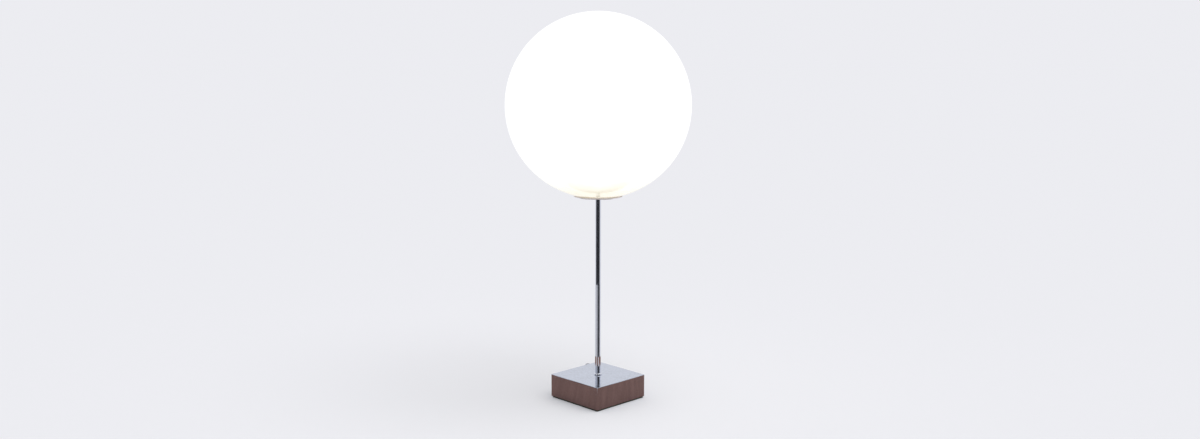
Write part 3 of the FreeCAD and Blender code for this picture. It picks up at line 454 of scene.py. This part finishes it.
# %% Cast iron
tree, shader, where = new_finish("cast_iron", 0.72, Metallic=0.35)
skin = use(tree, grain, Vector=where, Stretch=(260, 260, 260))
rust = use(tree, smudges, Vector=where, Size=55.0, Amount=0.7)["Mask"]
colour = tinted(tree, skin["Tone"], rgb(0.075, 0.075, 0.08), rgb(0.17, 0.168, 0.165))
colour = tinted(tree, rust, colour, rgb(0.20, 0.095, 0.045))
tree.links.new(colour, shader.inputs["Base Color"])
raised(tree, shader, skin["Height"], 0.5)
print("cast iron made")

# %% [markdown]
# The steel cover under the base is stoved black. Paint lies on it like the skin of an orange, and where an
# edge has rubbed, bare steel shows, so the wear mask drives both the colour and how metallic it is.

# %% Black paint on steel
BARE_STEEL = rgb(0.5, 0.49, 0.47)
tree, shader, where = new_finish("cover_steel", 0.38)
peel = use(tree, grain, Vector=where, Stretch=(520, 520, 520))
rubbed = use(tree, edge_wear, Vector=where, Amount=0.9)["Mask"]
colour = tinted(tree, peel["Tone"], rgb(0.022, 0.022, 0.024), rgb(0.042, 0.042, 0.045))
tree.links.new(tinted(tree, rubbed, colour, BARE_STEEL), shader.inputs["Base Color"])
tree.links.new(rubbed, shader.inputs["Metallic"])
raised(tree, shader, peel["Height"], 0.06)
print("painted steel made")

# %% [markdown]
# Pressed felt is a mat of short fibres with no direction. Hair could be grown on it, but the pad shows only
# as a dark line under the box, so a very fine grain with a soft sheen does as well and costs nothing. Its
# colour is all but black: dark felt, and painted shade for the shadow that lies under the box.

# %% Felt
tree, shader, where = new_finish("felt", 0.95, Sheen_Weight=0.15, Sheen_Roughness=0.6, Specular_IOR_Level=0.1)
mat = use(tree, grain, Vector=where, Stretch=(1500, 1500, 1500))
lint = use(tree, dust, Vector=where, Amount=0.3)["Mask"]
# painted shade: the near-black colour is partly dark felt and partly the shadow under the box
colour = tinted(tree, mat["Tone"], rgb(0.005, 0.013, 0.009), rgb(0.018, 0.042, 0.029))
tree.links.new(tinted(tree, lint, colour, rgb(0.2, 0.2, 0.19)), shader.inputs["Base Color"])
raised(tree, shader, mat["Height"], 0.25)
print("felt made")

# %% [markdown]
# Plastics, rubber and fibre board share a build: a base colour with a little tone in it, a soft grain from
# the mould, duller patches where they are handled, and dust on top.

# %% Plastics, rubber and board
DUST_ON_PLASTIC = rgb(0.5, 0.49, 0.47)
HANDLED_ROUGHNESS = 0.15


def moulded(slot, light, dark, roughness, stretch=(500, 500, 500), depth=0.04, dusty=0.25, **plain):
    tree, shader, where = new_finish(slot, roughness, **plain)
    skin = use(tree, grain, Vector=where, Stretch=stretch)
    handled = use(tree, smudges, Vector=where, Size=120.0, Amount=0.6)["Mask"]
    lying = use(tree, dust, Vector=where, Amount=dusty)["Mask"]
    colour = tinted(tree, skin["Tone"], rgb(*dark), rgb(*light))
    tree.links.new(tinted(tree, lying, colour, DUST_ON_PLASTIC), shader.inputs["Base Color"])
    rough = maths(tree, "ADD", maths(tree, "MULTIPLY", handled, HANDLED_ROUGHNESS), roughness)
    tree.links.new(rough, shader.inputs["Roughness"])
    raised(tree, shader, skin["Height"], depth)


moulded("black_nylon", (0.030, 0.030, 0.031), (0.018, 0.018, 0.019), 0.42)
moulded("white_nylon", (0.74, 0.73, 0.68), (0.64, 0.62, 0.56), 0.45)
moulded("rubber", (0.66, 0.61, 0.63), (0.56, 0.51, 0.53), 0.6, depth=0.08)
moulded("phenolic", (0.070, 0.036, 0.022), (0.026, 0.013, 0.009), 0.22, stretch=(90, 90, 260), depth=0.02)
moulded("fibre_board", (0.42, 0.25, 0.13), (0.26, 0.14, 0.07), 0.85, stretch=(1400, 1400, 130), depth=0.15)
moulded("white_lead", (0.72, 0.71, 0.66), (0.60, 0.58, 0.52), 0.50, stretch=(300, 300, 300))
moulded("black_lead", (0.034, 0.034, 0.036), (0.020, 0.020, 0.021), 0.45, stretch=(300, 300, 300))
print("plastics made:", len(finishes), "finishes in all")

# %% [markdown]
# ## The lit opal glass
# The globe is clear glass cased with a white layer, lit from inside, so evenly that it reads as a white
# disc, and only near its mouth does the light turn to cream. Real scattering inside the wall would be slow
# and noisy, so the glow is given out by the surface itself, its colour shaded by height, under a clear
# polished coat. The group's faint clouds stand for the unevenness of the white layer.

# %% Opal glass
CREAM_TOP, FADE_FOOT, FADE_TOP = 0.020, 0.015, 0.09
globe_low, globe_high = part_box("globe_glass")
tree, shader, where = new_finish("opal_glass", 0.30, Coat_Weight=1.0, Coat_Roughness=0.02,
                                 Emission_Strength=0.9)
height = add(tree, "SeparateXYZ", {0: where}).outputs["Z"]
near_mouth = spread(tree, height, globe_low.z, globe_low.z + CREAM_TOP)
higher_up = spread(tree, height, globe_low.z + FADE_FOOT, globe_low.z + FADE_TOP)
milk = use(tree, smudges, Vector=where, Size=9.0, Amount=0.35)["Mask"]
glow = tinted(tree, near_mouth, rgb(0.47, 0.37, 0.11), rgb(0.54, 0.50, 0.32))
glow = tinted(tree, higher_up, glow, rgb(1.0, 0.99, 0.97))
glow = tinted(tree, milk, glow, rgb(0.98, 0.97, 0.94))
tree.links.new(glow, shader.inputs["Emission Color"])
tree.links.new(tinted(tree, milk, rgb(0.76, 0.76, 0.75), rgb(0.72, 0.72, 0.70)), shader.inputs["Base Color"])
print("opal glass glows between", round(globe_low.z, 3), "and", round(globe_high.z, 3))

# %% [markdown]
# The bulb inside is frosted, and shines too when the globe is lifted off. Its foot is closed by a bead of
# black glass, and a clear glass stem holds the filament.

# %% The bulb's glasses
tree, shader, where = new_finish("frosted_glass", 0.45, Coat_Weight=0.3, Emission_Strength=0.42)
etched = use(tree, grain, Vector=where, Stretch=(300, 300, 300))
tree.links.new(tinted(tree, etched["Tone"], rgb(1.0, 0.88, 0.66), rgb(1.0, 0.94, 0.78)),
               shader.inputs["Emission Color"])
tree.links.new(tinted(tree, etched["Tone"], rgb(0.60, 0.59, 0.56), rgb(0.66, 0.65, 0.63)),
               shader.inputs["Base Color"])
raised(tree, shader, etched["Height"], 0.02)

moulded("black_glass", (0.014, 0.014, 0.017), (0.008, 0.008, 0.010), 0.10, depth=0.01, Coat_Weight=0.6)

tree, shader, where = new_finish("clear_glass", 0.05, Transmission_Weight=1.0, IOR=1.5)
cords = use(tree, grain, Vector=where, Stretch=(120, 120, 20))
tree.links.new(tinted(tree, cords["Tone"], rgb(0.90, 0.93, 0.92), rgb(0.98, 0.99, 0.98)),
               shader.inputs["Base Color"])
raised(tree, shader, cords["Height"], 0.05)
missing = {item["slot"] for item in frame["record"]["materials"]} - set(finishes)
print("slots still without a finish:", sorted(missing))

# %% [markdown]
# ## Making pieces
# Nearly everything on a lamp is turned, spun or rolled, so one tool serves for most pieces: an outline of
# radius and height, in millimetres, is carried round the axis. A lathe modifier could do it, but a loop that
# places the points can also cut threads and knurls on the way. Corners get a small rounding, because
# an edge without one catches no light and looks drawn, not made.

# %% Turning tools
MM = 0.001
WELD = 1e-7


def softened(corners, steps=3):
    """Rounds the corners of a closed outline. Each corner is (radius, height, rounding)."""
    points = []
    for index, (radius, height, rounding) in enumerate(corners):
        here = Vector((radius, height))
        before = (Vector(corners[index - 1][:2]) - here).normalized() * rounding
        after = (Vector(corners[(index + 1) % len(corners)][:2]) - here).normalized() * rounding
        for step in range(steps + 1 if rounding else 1):
            share = step / steps
            points.append(here + before * (1 - share) ** 2 + after * share ** 2)
    return points


def turned(outline, segments=96, relief=None):
    """Carries a closed outline round Z. Relief gives the radius at (radius, height, angle)."""
    build = bmesh.new()
    columns = []
    for turn in range(segments):
        angle = 2 * math.pi * turn / segments
        column = []
        for radius, height in outline:
            reach = MM * (relief(radius, height, angle) if relief else radius)
            column.append(build.verts.new((reach * math.cos(angle), reach * math.sin(angle), MM * height)))
        columns.append(column)
    for turn in range(segments):
        near, far = columns[turn - 1], columns[turn]
        for row in range(len(outline)):
            build.faces.new((near[row - 1], far[row - 1], far[row], near[row]))
    bmesh.ops.remove_doubles(build, verts=build.verts, dist=WELD)
    bmesh.ops.recalc_face_normals(build, faces=build.faces)
    mesh = bpy.data.meshes.new("turned")
    build.to_mesh(mesh)
    build.free()
    return mesh


def rows(low, high, step):
    """Evenly spaced heights from low to high."""
    count = max(1, round((high - low) / step))
    return [low + (high - low) * index / count for index in range(count + 1)]


def in_mm(node):
    """A node's lowest and highest corners in millimetres."""
    low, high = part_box(node)
    return low / MM, high / MM


print("turning tools ready")

# %% [markdown]
# A finished mesh becomes a piece when it is smoothed, hidden solids are named, and it is tied to the body
# that carries it. Doing this in one place keeps every piece honest.

# %% Add a piece
def add_piece(name, mesh, body, slot, *solids, crease=38):
    """Puts a mesh in the scene as a piece that stands for CAD solids."""
    mesh.name = name
    mesh.shade_smooth()
    mesh.set_sharp_from_angle(angle=math.radians(crease))
    mesh.materials.clear()
    mesh.materials.append(finishes[slot])
    piece = bpy.data.objects.new(name, mesh)
    scene.collection.objects.link(piece)
    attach(piece, body)
    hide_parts(*solids)
    print(name, "has", len(mesh.polygons), "faces")


def finished_mesh(thing):
    """The mesh that an object's curve or modifiers give."""
    return bpy.data.meshes.new_from_object(thing.evaluated_get(bpy.context.evaluated_depsgraph_get()))


def to_rear(mesh, x, y, z):
    """Turns a mesh made on Z so that it points to the rear, its foot at a place in millimetres."""
    mesh.transform(Matrix.Translation(MM * Vector((x, y, z))) @ Matrix.Rotation(-math.pi / 2, 4, "X"))
    return mesh


def moved(mesh, x, y, z):
    mesh.transform(Matrix.Translation(MM * Vector((x, y, z))))
    return mesh


print("piece helper ready")

# %% [markdown]
# ## The globe
# The globe is blown into a mould, cracked off and ground flat at its mouth, where it rests on a soft ring.
# A sphere primitive has no wall and no mouth. The outline runs up the outside, back down the inside and
# across the ground rim, so the piece is a true shell with the wall's thickness showing at the mouth.

# %% Opal globe
def arc_on_axis(centre, radius, start, end, steps):
    """Points of a circle whose centre is on the axis, from one angle above the horizon to another."""
    angles = [math.radians(start + (end - start) * step / steps) for step in range(steps + 1)]
    return [(max(0.0, radius * math.cos(angle)), centre + radius * math.sin(angle)) for angle in angles]


low, high = in_mm("globe_glass")
ball = (high.x - low.x) / 2
wall = 2.5
mouth = 41.5
chamfer = 0.3
middle = high.z - ball
rim = math.sqrt(ball ** 2 - (middle - low.z) ** 2)
outside = arc_on_axis(middle, ball, -math.degrees(math.acos((rim + 0.1) / ball)), 90, 84)
inside = arc_on_axis(middle, ball - wall, 90, -math.degrees(math.acos(mouth / (ball - wall))), 56)
ground = [(mouth, low.z + chamfer), (mouth + chamfer, low.z), (rim - chamfer, low.z)]
add_piece("opal_globe", turned(outside + inside + ground, 144), "globe", "opal_glass", "globe_glass")
print("globe radius", round(ball, 2), "mm, mouth", mouth, "mm, rim", round(rim, 2), "mm")

# %% [markdown]
# ## The stem and its ring
# The stem is a plated tube, turned down and threaded at both ends: the lower end goes through the box into
# its nut, the upper end takes the disc, a nut and the lamp holder's cap. The threads are cut by the relief:
# the radius falls and rises once for each pitch, and a full turn moves it on by one pitch.

# %% Stem with cut threads
def thread(crest, low, high, depth, pitch):
    """Relief that cuts a round-bottomed thread into one radius between two heights."""
    def relief(radius, height, angle):
        if abs(radius - crest) > 0.01 or not low < height < high:
            return radius
        phase = height / pitch - angle / (2 * math.pi)
        return radius - depth * (0.5 + 0.5 * math.cos(2 * math.pi * phase))
    return relief


low, high = in_mm("stem_tube")
collar_low, collar_high = in_mm("stem_collar")
disc_low, disc_high = in_mm("globe_holder")
tube, thread_radius, bore = high.x, 5.0, 3.5
lower_thread = [(thread_radius, height) for height in rows(low.z + 0.5, collar_high.z - 0.1, 0.25)]
upper_thread = [(thread_radius, height) for height in rows(disc_low.z + 0.1, high.z - 0.5, 0.25)]
outline = [(bore, low.z), (thread_radius - 0.5, low.z)] + lower_thread
outline += [(tube - 0.15, collar_high.z), (tube, collar_high.z + 0.15)]
outline += [(tube, height) for height in rows(collar_high.z + 12, disc_low.z - 12, 20)]
outline += [(tube, disc_low.z - 0.15), (tube - 0.15, disc_low.z)]
outline += upper_thread + [(thread_radius - 0.5, high.z), (bore, high.z)]
stem_mesh = turned(outline, 72, thread(thread_radius, low.z + 0.4, high.z - 0.4, depth=0.4, pitch=1.0))
add_piece("stem", stem_mesh, "base", "stem_chrome", "stem_tube")

# %% [markdown]
# A small plated ring hides the hole in the box and gives the tube a seat. Its upper edge is well rounded,
# which is why it shows as a bright spot in the photograph: the curve mirrors what is above it.

# %% Ring at the stem's foot
hole = 5.15
crown = 2.4
ring = [(hole, collar_low.z, 0.1), (collar_high.x, collar_low.z, 0.15),
        (collar_high.x, collar_high.z, crown), (hole, collar_high.z, 0.1)]
add_piece("stem_ring", turned(softened(ring, 8), 96), "base", "stem_chrome", "stem_collar")

# %% [markdown]
# ## The disc under the globe
# A plated disc carries the globe, and a ring that stands up from it keeps the glass centred. From the side
# only its thin rim shows. The rim is rolled, so its rounding is as large as the sheet allows.

# %% Disc with its centring ring
centring = mouth - 1.0
centring_inside = centring - 2.4
plate = disc_low.z + 2.0
rolled_rim = 0.9
disc = [(hole, disc_low.z, 0.15), (disc_high.x, disc_low.z, rolled_rim), (disc_high.x, plate, rolled_rim),
        (centring, plate, 0.3), (centring, disc_high.z, 0.8), (centring_inside, disc_high.z, 0.8),
        (centring_inside, plate, 0.6), (hole, plate, 0.15)]
add_piece("carrier_disc", turned(softened(disc, 4), 128), "base", "holder_chrome", "globe_holder")

# %% [markdown]
# ## Nuts
# A hexagon nut is a bar of six flats whose corners are turned away at both faces. Both shapes can come from
# one formula: at each angle the flats allow one radius, near a face the turning tool allows another, and
# the smaller of the two is where the metal ends.

# %% Hexagon nuts
NUT_BORE = 5.05
CORNER_CUT, CORNER_SLOPE = 0.2, 1.7


def hex_nut(flats, low, high):
    """A nut of a width across flats between two heights."""
    heights = rows(low, high, (high - low) / 12)
    outline = [(NUT_BORE, low)] + [(flats, height) for height in heights] + [(NUT_BORE, high)]

    def relief(radius, height, angle):
        if radius < flats:
            return radius
        from_corner = (angle + math.pi / 6) % (math.pi / 3) - math.pi / 6
        flat = flats / 2 / math.cos(from_corner)
        turned_down = flats / 2 - CORNER_CUT + CORNER_SLOPE * min(height - low, high - height)
        return min(flat, turned_down)
    return turned(outline, 120, relief)


for solid, name, flats in (("stem_nut", "lower_nut", 16.0), ("holder_nut", "upper_nut", 14.0)):
    low, high = in_mm(solid)
    add_piece(name, hex_nut(flats, low.z, high.z), "base", "plated_steel", solid, crease=25)

# %% [markdown]
# ## The lamp holder
# The holder is spun and rolled from thin brass. A cap with a domed shoulder screws on the stem's end. It
# could be put together from a tube, a cone and a ring, but one outline with rounded corners gives the dome
# and the step inside in a single wall.

# %% Cap of the lamp holder
low, high = in_mm("socket_cap")
ledge = high.z - 8.0
hub_top = low.z + 9.0
cap = [(NUT_BORE, low.z, 0.2), (7.5, low.z, 0.4), (7.5, hub_top - 2.2, 0.8), (11.5, hub_top + 0.4, 1.6),
       (15.6, hub_top + 4.2, 2.4), (17.0, ledge - 0.6, 0.8), (16.6, ledge + 1.2, 0.4),
       (16.6, high.z - 1.2, 0.3), (17.0, high.z - 0.9, 0.2), (17.0, high.z, 0.15), (16.2, high.z, 0.1),
       (16.2, ledge, 0.05), (13.5, ledge, 0.05), (13.5, ledge - 1.4, 1.0), (10.4, hub_top + 1.6, 1.0),
       (6.7, hub_top, 0.1), (NUT_BORE, hub_top, 0.1)]
add_piece("holder_cap", turned(softened(cap, 5), 96), "base", "socket_brass", "socket_cap")

# %% [markdown]
# A shell with beads and a rolled lip slips into the cap. Beads stiffen a thin shell, and a plain tube
# without them would look like a drawing. The screw shell inside is pressed sheet, so its inside and outside
# wave together, with the coarse round thread of a lamp base.

# %% Beaded shell and screw shell
low, high = in_mm("socket_shell")
outer, inner = 16.15, 15.65
plain = outer - 0.22
shell = [(inner, low.z, 0.1), (outer, low.z, 0.1), (outer, ledge + 8.6, 0.1), (plain, ledge + 9.0, 0.1)]
for bead in (ledge + 12.0, ledge + 14.5, high.z - 6.0):
    shell += [(plain, bead - 0.9, 0.2), (outer, bead, 0.5), (plain, bead + 0.9, 0.2)]
shell += [(plain, high.z - 1.6, 0.2), (outer, high.z - 1.1, 0.3), (outer, high.z, 0.25), (inner, high.z, 0.2)]
add_piece("holder_shell", turned(softened(shell, 4), 96), "base", "socket_brass", "socket_shell")

low, high = in_mm("socket_screw_shell")
LAMP_PITCH, PRESSED_DEPTH = 3.63, 0.22
heights = rows(low.z + 0.6, high.z - 0.3, 0.3)
shell = [(4.95, low.z), (13.4, low.z)] + [(13.9, height) for height in heights]
shell += [(13.4, height) for height in heights[::-1]] + [(4.95, low.z + 0.5)]


def pressed(radius, height, angle):
    """Inside and outside of pressed sheet wave together."""
    if radius < 13.0 or height < low.z + 1.5:
        return radius
    phase = height / LAMP_PITCH - angle / (2 * math.pi)
    return radius + PRESSED_DEPTH * (1 + math.sin(2 * math.pi * phase))


add_piece("holder_screw_shell", turned(shell, 96, pressed), "base", "screw_shell_aluminium",
          "socket_screw_shell", crease=50)

# %% [markdown]
# ## The bulb
# The bulb is a ball that runs into a straight neck through a tangent curve. A row of tangent arcs gives
# that line with no kink. The glass is a thin shell, and the neck disappears into the threaded cap.

# %% Frosted bulb
BULB_RADIUS, NECK_RADIUS, BLEND_RADIUS, BULB_WALL = 30.0, 12.5, 30.0, 0.8
NECK_TAPER = 35
low, high = in_mm("bulb_glass")
cap_low, cap_high = in_mm("bulb_cap")


def bulb_line(inset):
    """The bulb's outline from the foot of the neck to the crown."""
    ball, neck, blend = BULB_RADIUS - inset, NECK_RADIUS - inset, BLEND_RADIUS + inset
    centre = high.z - BULB_RADIUS
    taper = math.radians(NECK_TAPER)
    touch = Vector((ball * math.cos(taper), centre - ball * math.sin(taper)))
    along = Vector((math.sin(taper), math.cos(taper)))
    bend = touch - along * ((touch.x - neck) / math.sin(taper))
    foot_of_curve = bend.y - blend * math.tan(taper / 2)
    points = [Vector((neck, height)) for height in rows(low.z, foot_of_curve, 2)]
    for step in range(1, 13):
        angle = taper * step / 12
        points.append(Vector((neck + blend * (1 - math.cos(angle)), foot_of_curve + blend * math.sin(angle))))
    return points + [Vector(point) for point in arc_on_axis(centre, ball, -NECK_TAPER, 90, 36)]


bulb_mesh = turned(bulb_line(0) + bulb_line(BULB_WALL)[::-1], 96)
add_piece("frosted_bulb", bulb_mesh, "bulb", "frosted_glass", "bulb_glass")

# %% [markdown]
# The bulb's cap is rolled aluminium with the same coarse thread, plain where it grips the glass.

# %% Rolled bulb cap
thread_foot, thread_top = cap_low.z + 1.2, cap_high.z - 8.0
heights = rows(thread_foot, cap_high.z - 0.4, 0.3)
cap = [(5.5, cap_low.z), (11.0, cap_low.z), (12.2, cap_low.z + 0.4)] + [(13.05, height) for height in heights]
cap += [(12.9, cap_high.z), (12.7, cap_high.z)] + [(12.65, height) for height in heights[::-1]]
cap += [(11.8, cap_low.z + 0.8), (10.8, cap_low.z + 0.4), (5.5, cap_low.z + 0.4)]


def rolled(radius, height, angle):
    """The coarse thread, fading in and out at its ends."""
    if radius < 12.6 or not thread_foot < height < thread_top:
        return radius
    phase = height / LAMP_PITCH - angle / (2 * math.pi)
    fade = min(1.0, (height - thread_foot) / 1.5, (thread_top - height) / 1.5)
    return radius - 0.3 * fade * (1 - math.sin(2 * math.pi * phase))


add_piece("rolled_cap", turned(cap, 96, rolled), "bulb", "bulb_cap_aluminium", "bulb_cap", crease=50)

low, high = in_mm("bulb_contact")
bead = [(0.0, low.z), (2.2, low.z + 0.1), (3.7, low.z + 0.45), (4.5, high.z - 0.2), (4.5, high.z),
        (0.0, high.z)]
add_piece("foot_contact", turned(bead, 48), "bulb", "solder", "bulb_contact")

# %% [markdown]
# The filament is tungsten wire wound into a fine coil, too fine to model turn by turn in the solids. Here a
# helix is wound along the bow between its supports, and a bevelled curve gives the wire its thickness.

# %% Coiled filament
TURNS = 34
POINTS = 10 * TURNS
COIL_RADIUS, WIRE_RADIUS, COIL_MARGIN = 0.32, 0.11, 0.45

low, high = in_mm("bulb_filament")
coil = bpy.data.curves.new("coil", "CURVE")
coil.dimensions = "3D"
coil.bevel_depth = WIRE_RADIUS * MM
coil.bevel_resolution = 1
wire = coil.splines.new("POLY")
wire.points.add(POINTS)
half = (high.x - low.x) / 2 - 0.2
for index in range(POINTS + 1):
    share = 2 * index / POINTS - 1
    angle = 2 * math.pi * TURNS * index / POINTS
    x = half * share
    bow = (high.z - low.z - 2 * COIL_MARGIN) * (1 - share ** 2)
    z = low.z + COIL_MARGIN + bow + COIL_RADIUS * math.sin(angle)
    wire.points[index].co = (x * MM, COIL_RADIUS * MM * math.cos(angle), z * MM, 1)
holder = bpy.data.objects.new("coil", coil)
scene.collection.objects.link(holder)
coil_mesh = finished_mesh(holder)
bpy.data.objects.remove(holder)
add_piece("filament_coil", coil_mesh, "bulb", "tungsten", "bulb_filament")

# %% [markdown]
# ## The switch
# The lamp is switched by a small knob at the back. It is knurled for grip: fine grooves run along it, one
# every few degrees. The grooves come from the same turning tool, with a relief that depends on the angle
# alone. The ring nut behind it is knurled more coarsely.

# %% Knurled knob and ring nut
def knurl(crest, low, high, depth, count):
    """Relief that cuts pointed grooves along one radius between two heights."""
    def relief(radius, height, angle):
        if abs(radius - crest) > 0.01 or not low <= height <= high:
            return radius
        return radius - depth * abs(2 * ((angle * count / (2 * math.pi)) % 1) - 1)
    return relief


SHAFT_BORE = 2.45
low, high = in_mm("switch_knob")
axis_x, axis_z = (low.x + high.x) / 2, (low.z + high.z) / 2
reach, length = (high.x - low.x) / 2, high.y - low.y
outline = [(SHAFT_BORE, 0), (reach - 0.5, 0), (reach - 0.25, 0.3), (reach - 0.25, 1.2), (reach, 1.6)]
outline += [(reach, height) for height in rows(1.8, length - 2.8, 1.0)] + [(reach, length - 2.6)]
outline += [(reach - 0.35, length - 2.2), (reach - 0.35, length - 0.9), (reach - 0.6, length - 0.3)]
outline += [(reach - 1.3, length), (4.2, length - 0.05), (3.9, length - 0.35), (0, length - 0.5)]
outline += [(0, 10.0), (SHAFT_BORE, 10.0)]
knob_mesh = turned(outline, 192, knurl(reach, 1.6, length - 2.6, depth=0.28, count=48))
add_piece("knurled_knob", to_rear(knob_mesh, axis_x, low.y, axis_z), "knob", "knob_chrome", "switch_knob")

low, high = in_mm("switch_nut")
thick = high.y - low.y
nut_reach = (high.x - low.x) / 2
outline = [(NUT_BORE, 0), (nut_reach - 0.4, 0), (nut_reach, 0.4), (nut_reach, thick - 0.5)]
outline += [(nut_reach - 0.6, thick), (5.4, thick), (NUT_BORE, thick - 0.3)]
nut_mesh = turned(outline, 144, knurl(nut_reach, 0.3, thick - 0.4, depth=0.3, count=36))
add_piece("ring_nut", to_rear(nut_mesh, axis_x, low.y, axis_z), "base", "nickel_brass", "switch_nut")

# %% [markdown]
# The switch's neck comes out through the wall of the box and takes the ring nut. It is a short threaded
# tube, so the relief that threads the stem cuts it as well, with a finer pitch.

# %% Threaded neck of the switch
low, high = in_mm("switch_bushing")
length = high.y - low.y
outline = [(SHAFT_BORE, 0), (4.6, 0)] + [(5.0, height) for height in rows(0.4, length - 0.4, 0.2)]
outline += [(4.6, length), (2.8, length), (SHAFT_BORE, length - 0.3)]
neck_mesh = turned(outline, 72, thread(5.0, 0.5, length - 0.5, depth=0.3, pitch=0.75))
add_piece("threaded_neck", to_rear(neck_mesh, axis_x, low.y, axis_z), "base", "nickel_brass",
          "switch_bushing")

# %% [markdown]
# ## The cord inlet
# A flanged bush lines the hole for the cord. Its mouth is well rounded so that it can't chafe the cord,
# and its barrel is threaded for the nut inside the box.

# %% Cord inlet bush
low, high = in_mm("cord_bushing")
length = high.y - low.y
barrel = length - 2.5
flange, rounded, lip = 7.0, 0.8, 1.0
quarter = rows(0, 1.57, 0.26)
outline = [(3.5, 0.4), (3.9, 0), (4.6, 0)] + [(5.0, height) for height in rows(0.4, barrel - 0.1, 0.25)]
outline += [(5.0, barrel), (flange - 0.2, barrel), (flange, barrel + 0.2)]
outline += [(flange - rounded * (1 - math.cos(angle)), length - rounded + rounded * math.sin(angle))
            for angle in quarter]
outline += [(4.5 - lip * math.sin(angle), length - lip + lip * math.cos(angle)) for angle in quarter]
bush_mesh = turned(outline, 96, thread(5.0, 0.5, barrel - 2.0, depth=0.3, pitch=1.0))
axis = ((low.x + high.x) / 2, low.y, (low.z + high.z) / 2)
add_piece("cord_inlet_bush", to_rear(bush_mesh, *axis), "base", "black_nylon", "cord_bushing")

# %% [markdown]
# ## Screws under the base
# Four pan head screws hold the cover. A real one has a domed head with a cross recess. The head is turned,
# and the recess is cut by two thin wedges with a boolean, because a cross has no turned form.

# %% Cover screws with a cross recess
HEAD_RADIUS, SHANK_RADIUS = 3.5, 2.0
QUADRANTS = ((-1, -1), (1, -1), (1, 1), (-1, 1))


def cut_away(mesh, cutter):
    """Takes one closed mesh out of another."""
    solid = bpy.data.objects.new("solid", mesh)
    tool = bpy.data.objects.new("tool", cutter)
    for thing in (solid, tool):
        scene.collection.objects.link(thing)
    step = solid.modifiers.new("cut", "BOOLEAN")
    step.object = tool
    step.operation = "DIFFERENCE"
    step.solver = "EXACT"
    result = finished_mesh(solid)
    bpy.data.objects.remove(solid)
    bpy.data.objects.remove(tool)
    return result


def cross_cutter(width, reach, depth):
    """Two crossed wedges that narrow towards their depth, pointing up from height zero."""
    build = bmesh.new()
    for along in ((1, 0), (0, 1)):
        corners = []
        for height, share in ((-0.2, 1.05), (depth, 0.35)):
            for sx, sy in QUADRANTS:
                long, short = (reach * share, width / 2) if along == (1, 0) else (width / 2, reach * share)
                corners.append(build.verts.new((MM * sx * long, MM * sy * short, MM * height)))
        for face in ((3, 2, 1, 0), (4, 5, 6, 7), (0, 1, 5, 4), (1, 2, 6, 5), (2, 3, 7, 6), (3, 0, 4, 7)):
            build.faces.new([corners[index] for index in face])
    mesh = bpy.data.meshes.new("cross")
    build.to_mesh(mesh)
    build.free()
    return mesh


head = [(0.0, 0.0), (1.6, 0.08), (2.6, 0.35), (3.2, 0.75), (HEAD_RADIUS, 1.2), (HEAD_RADIUS, 1.5),
        (SHANK_RADIUS, 1.5)]
shank = [(SHANK_RADIUS, height) for height in rows(1.7, 10.8, 0.15)]
outline = head + shank + [(1.4, 11.5), (0.0, 11.5)]
screw_mesh = turned(outline, 48, thread(SHANK_RADIUS, 1.8, 10.9, depth=0.3, pitch=0.7))
screw_mesh = cut_away(screw_mesh, cross_cutter(width=0.7, reach=1.9, depth=0.9))
low, high = in_mm("cover_screws")
build = bmesh.new()
from_middle = high.x - HEAD_RADIUS
for sx, sy in QUADRANTS:
    one = moved(screw_mesh.copy(), sx * from_middle, sy * from_middle, low.z)
    build.from_mesh(one)
    bpy.data.meshes.remove(one)
screws_mesh = bpy.data.meshes.new("screws")
build.to_mesh(screws_mesh)
build.free()
add_piece("cross_head_screws", screws_mesh, "base", "plated_steel", "cover_screws", crease=30)

# %% [markdown]
# ## Solids that stay
# The box, the weight, the cover, the felt, the washers, the wiring and the small inner parts already have
# their real shape, so their meshes are left alone and only their finish is laid on, slot by slot.

# %% Finish the solids that stay
slots = {part["node"]: part["material_slot"] for part in frame["record"]["subparts"]}
kept = [name for name, solid in frame["nodes"].items() if not solid.hide_render]
for name in kept:
    solid = frame["nodes"][name]
    if not solid.material_slots:
        solid.data.materials.append(None)
    for place_for_finish in solid.material_slots:
        place_for_finish.material = finishes[slots[name]]
print("solids kept with a new finish:", len(kept))
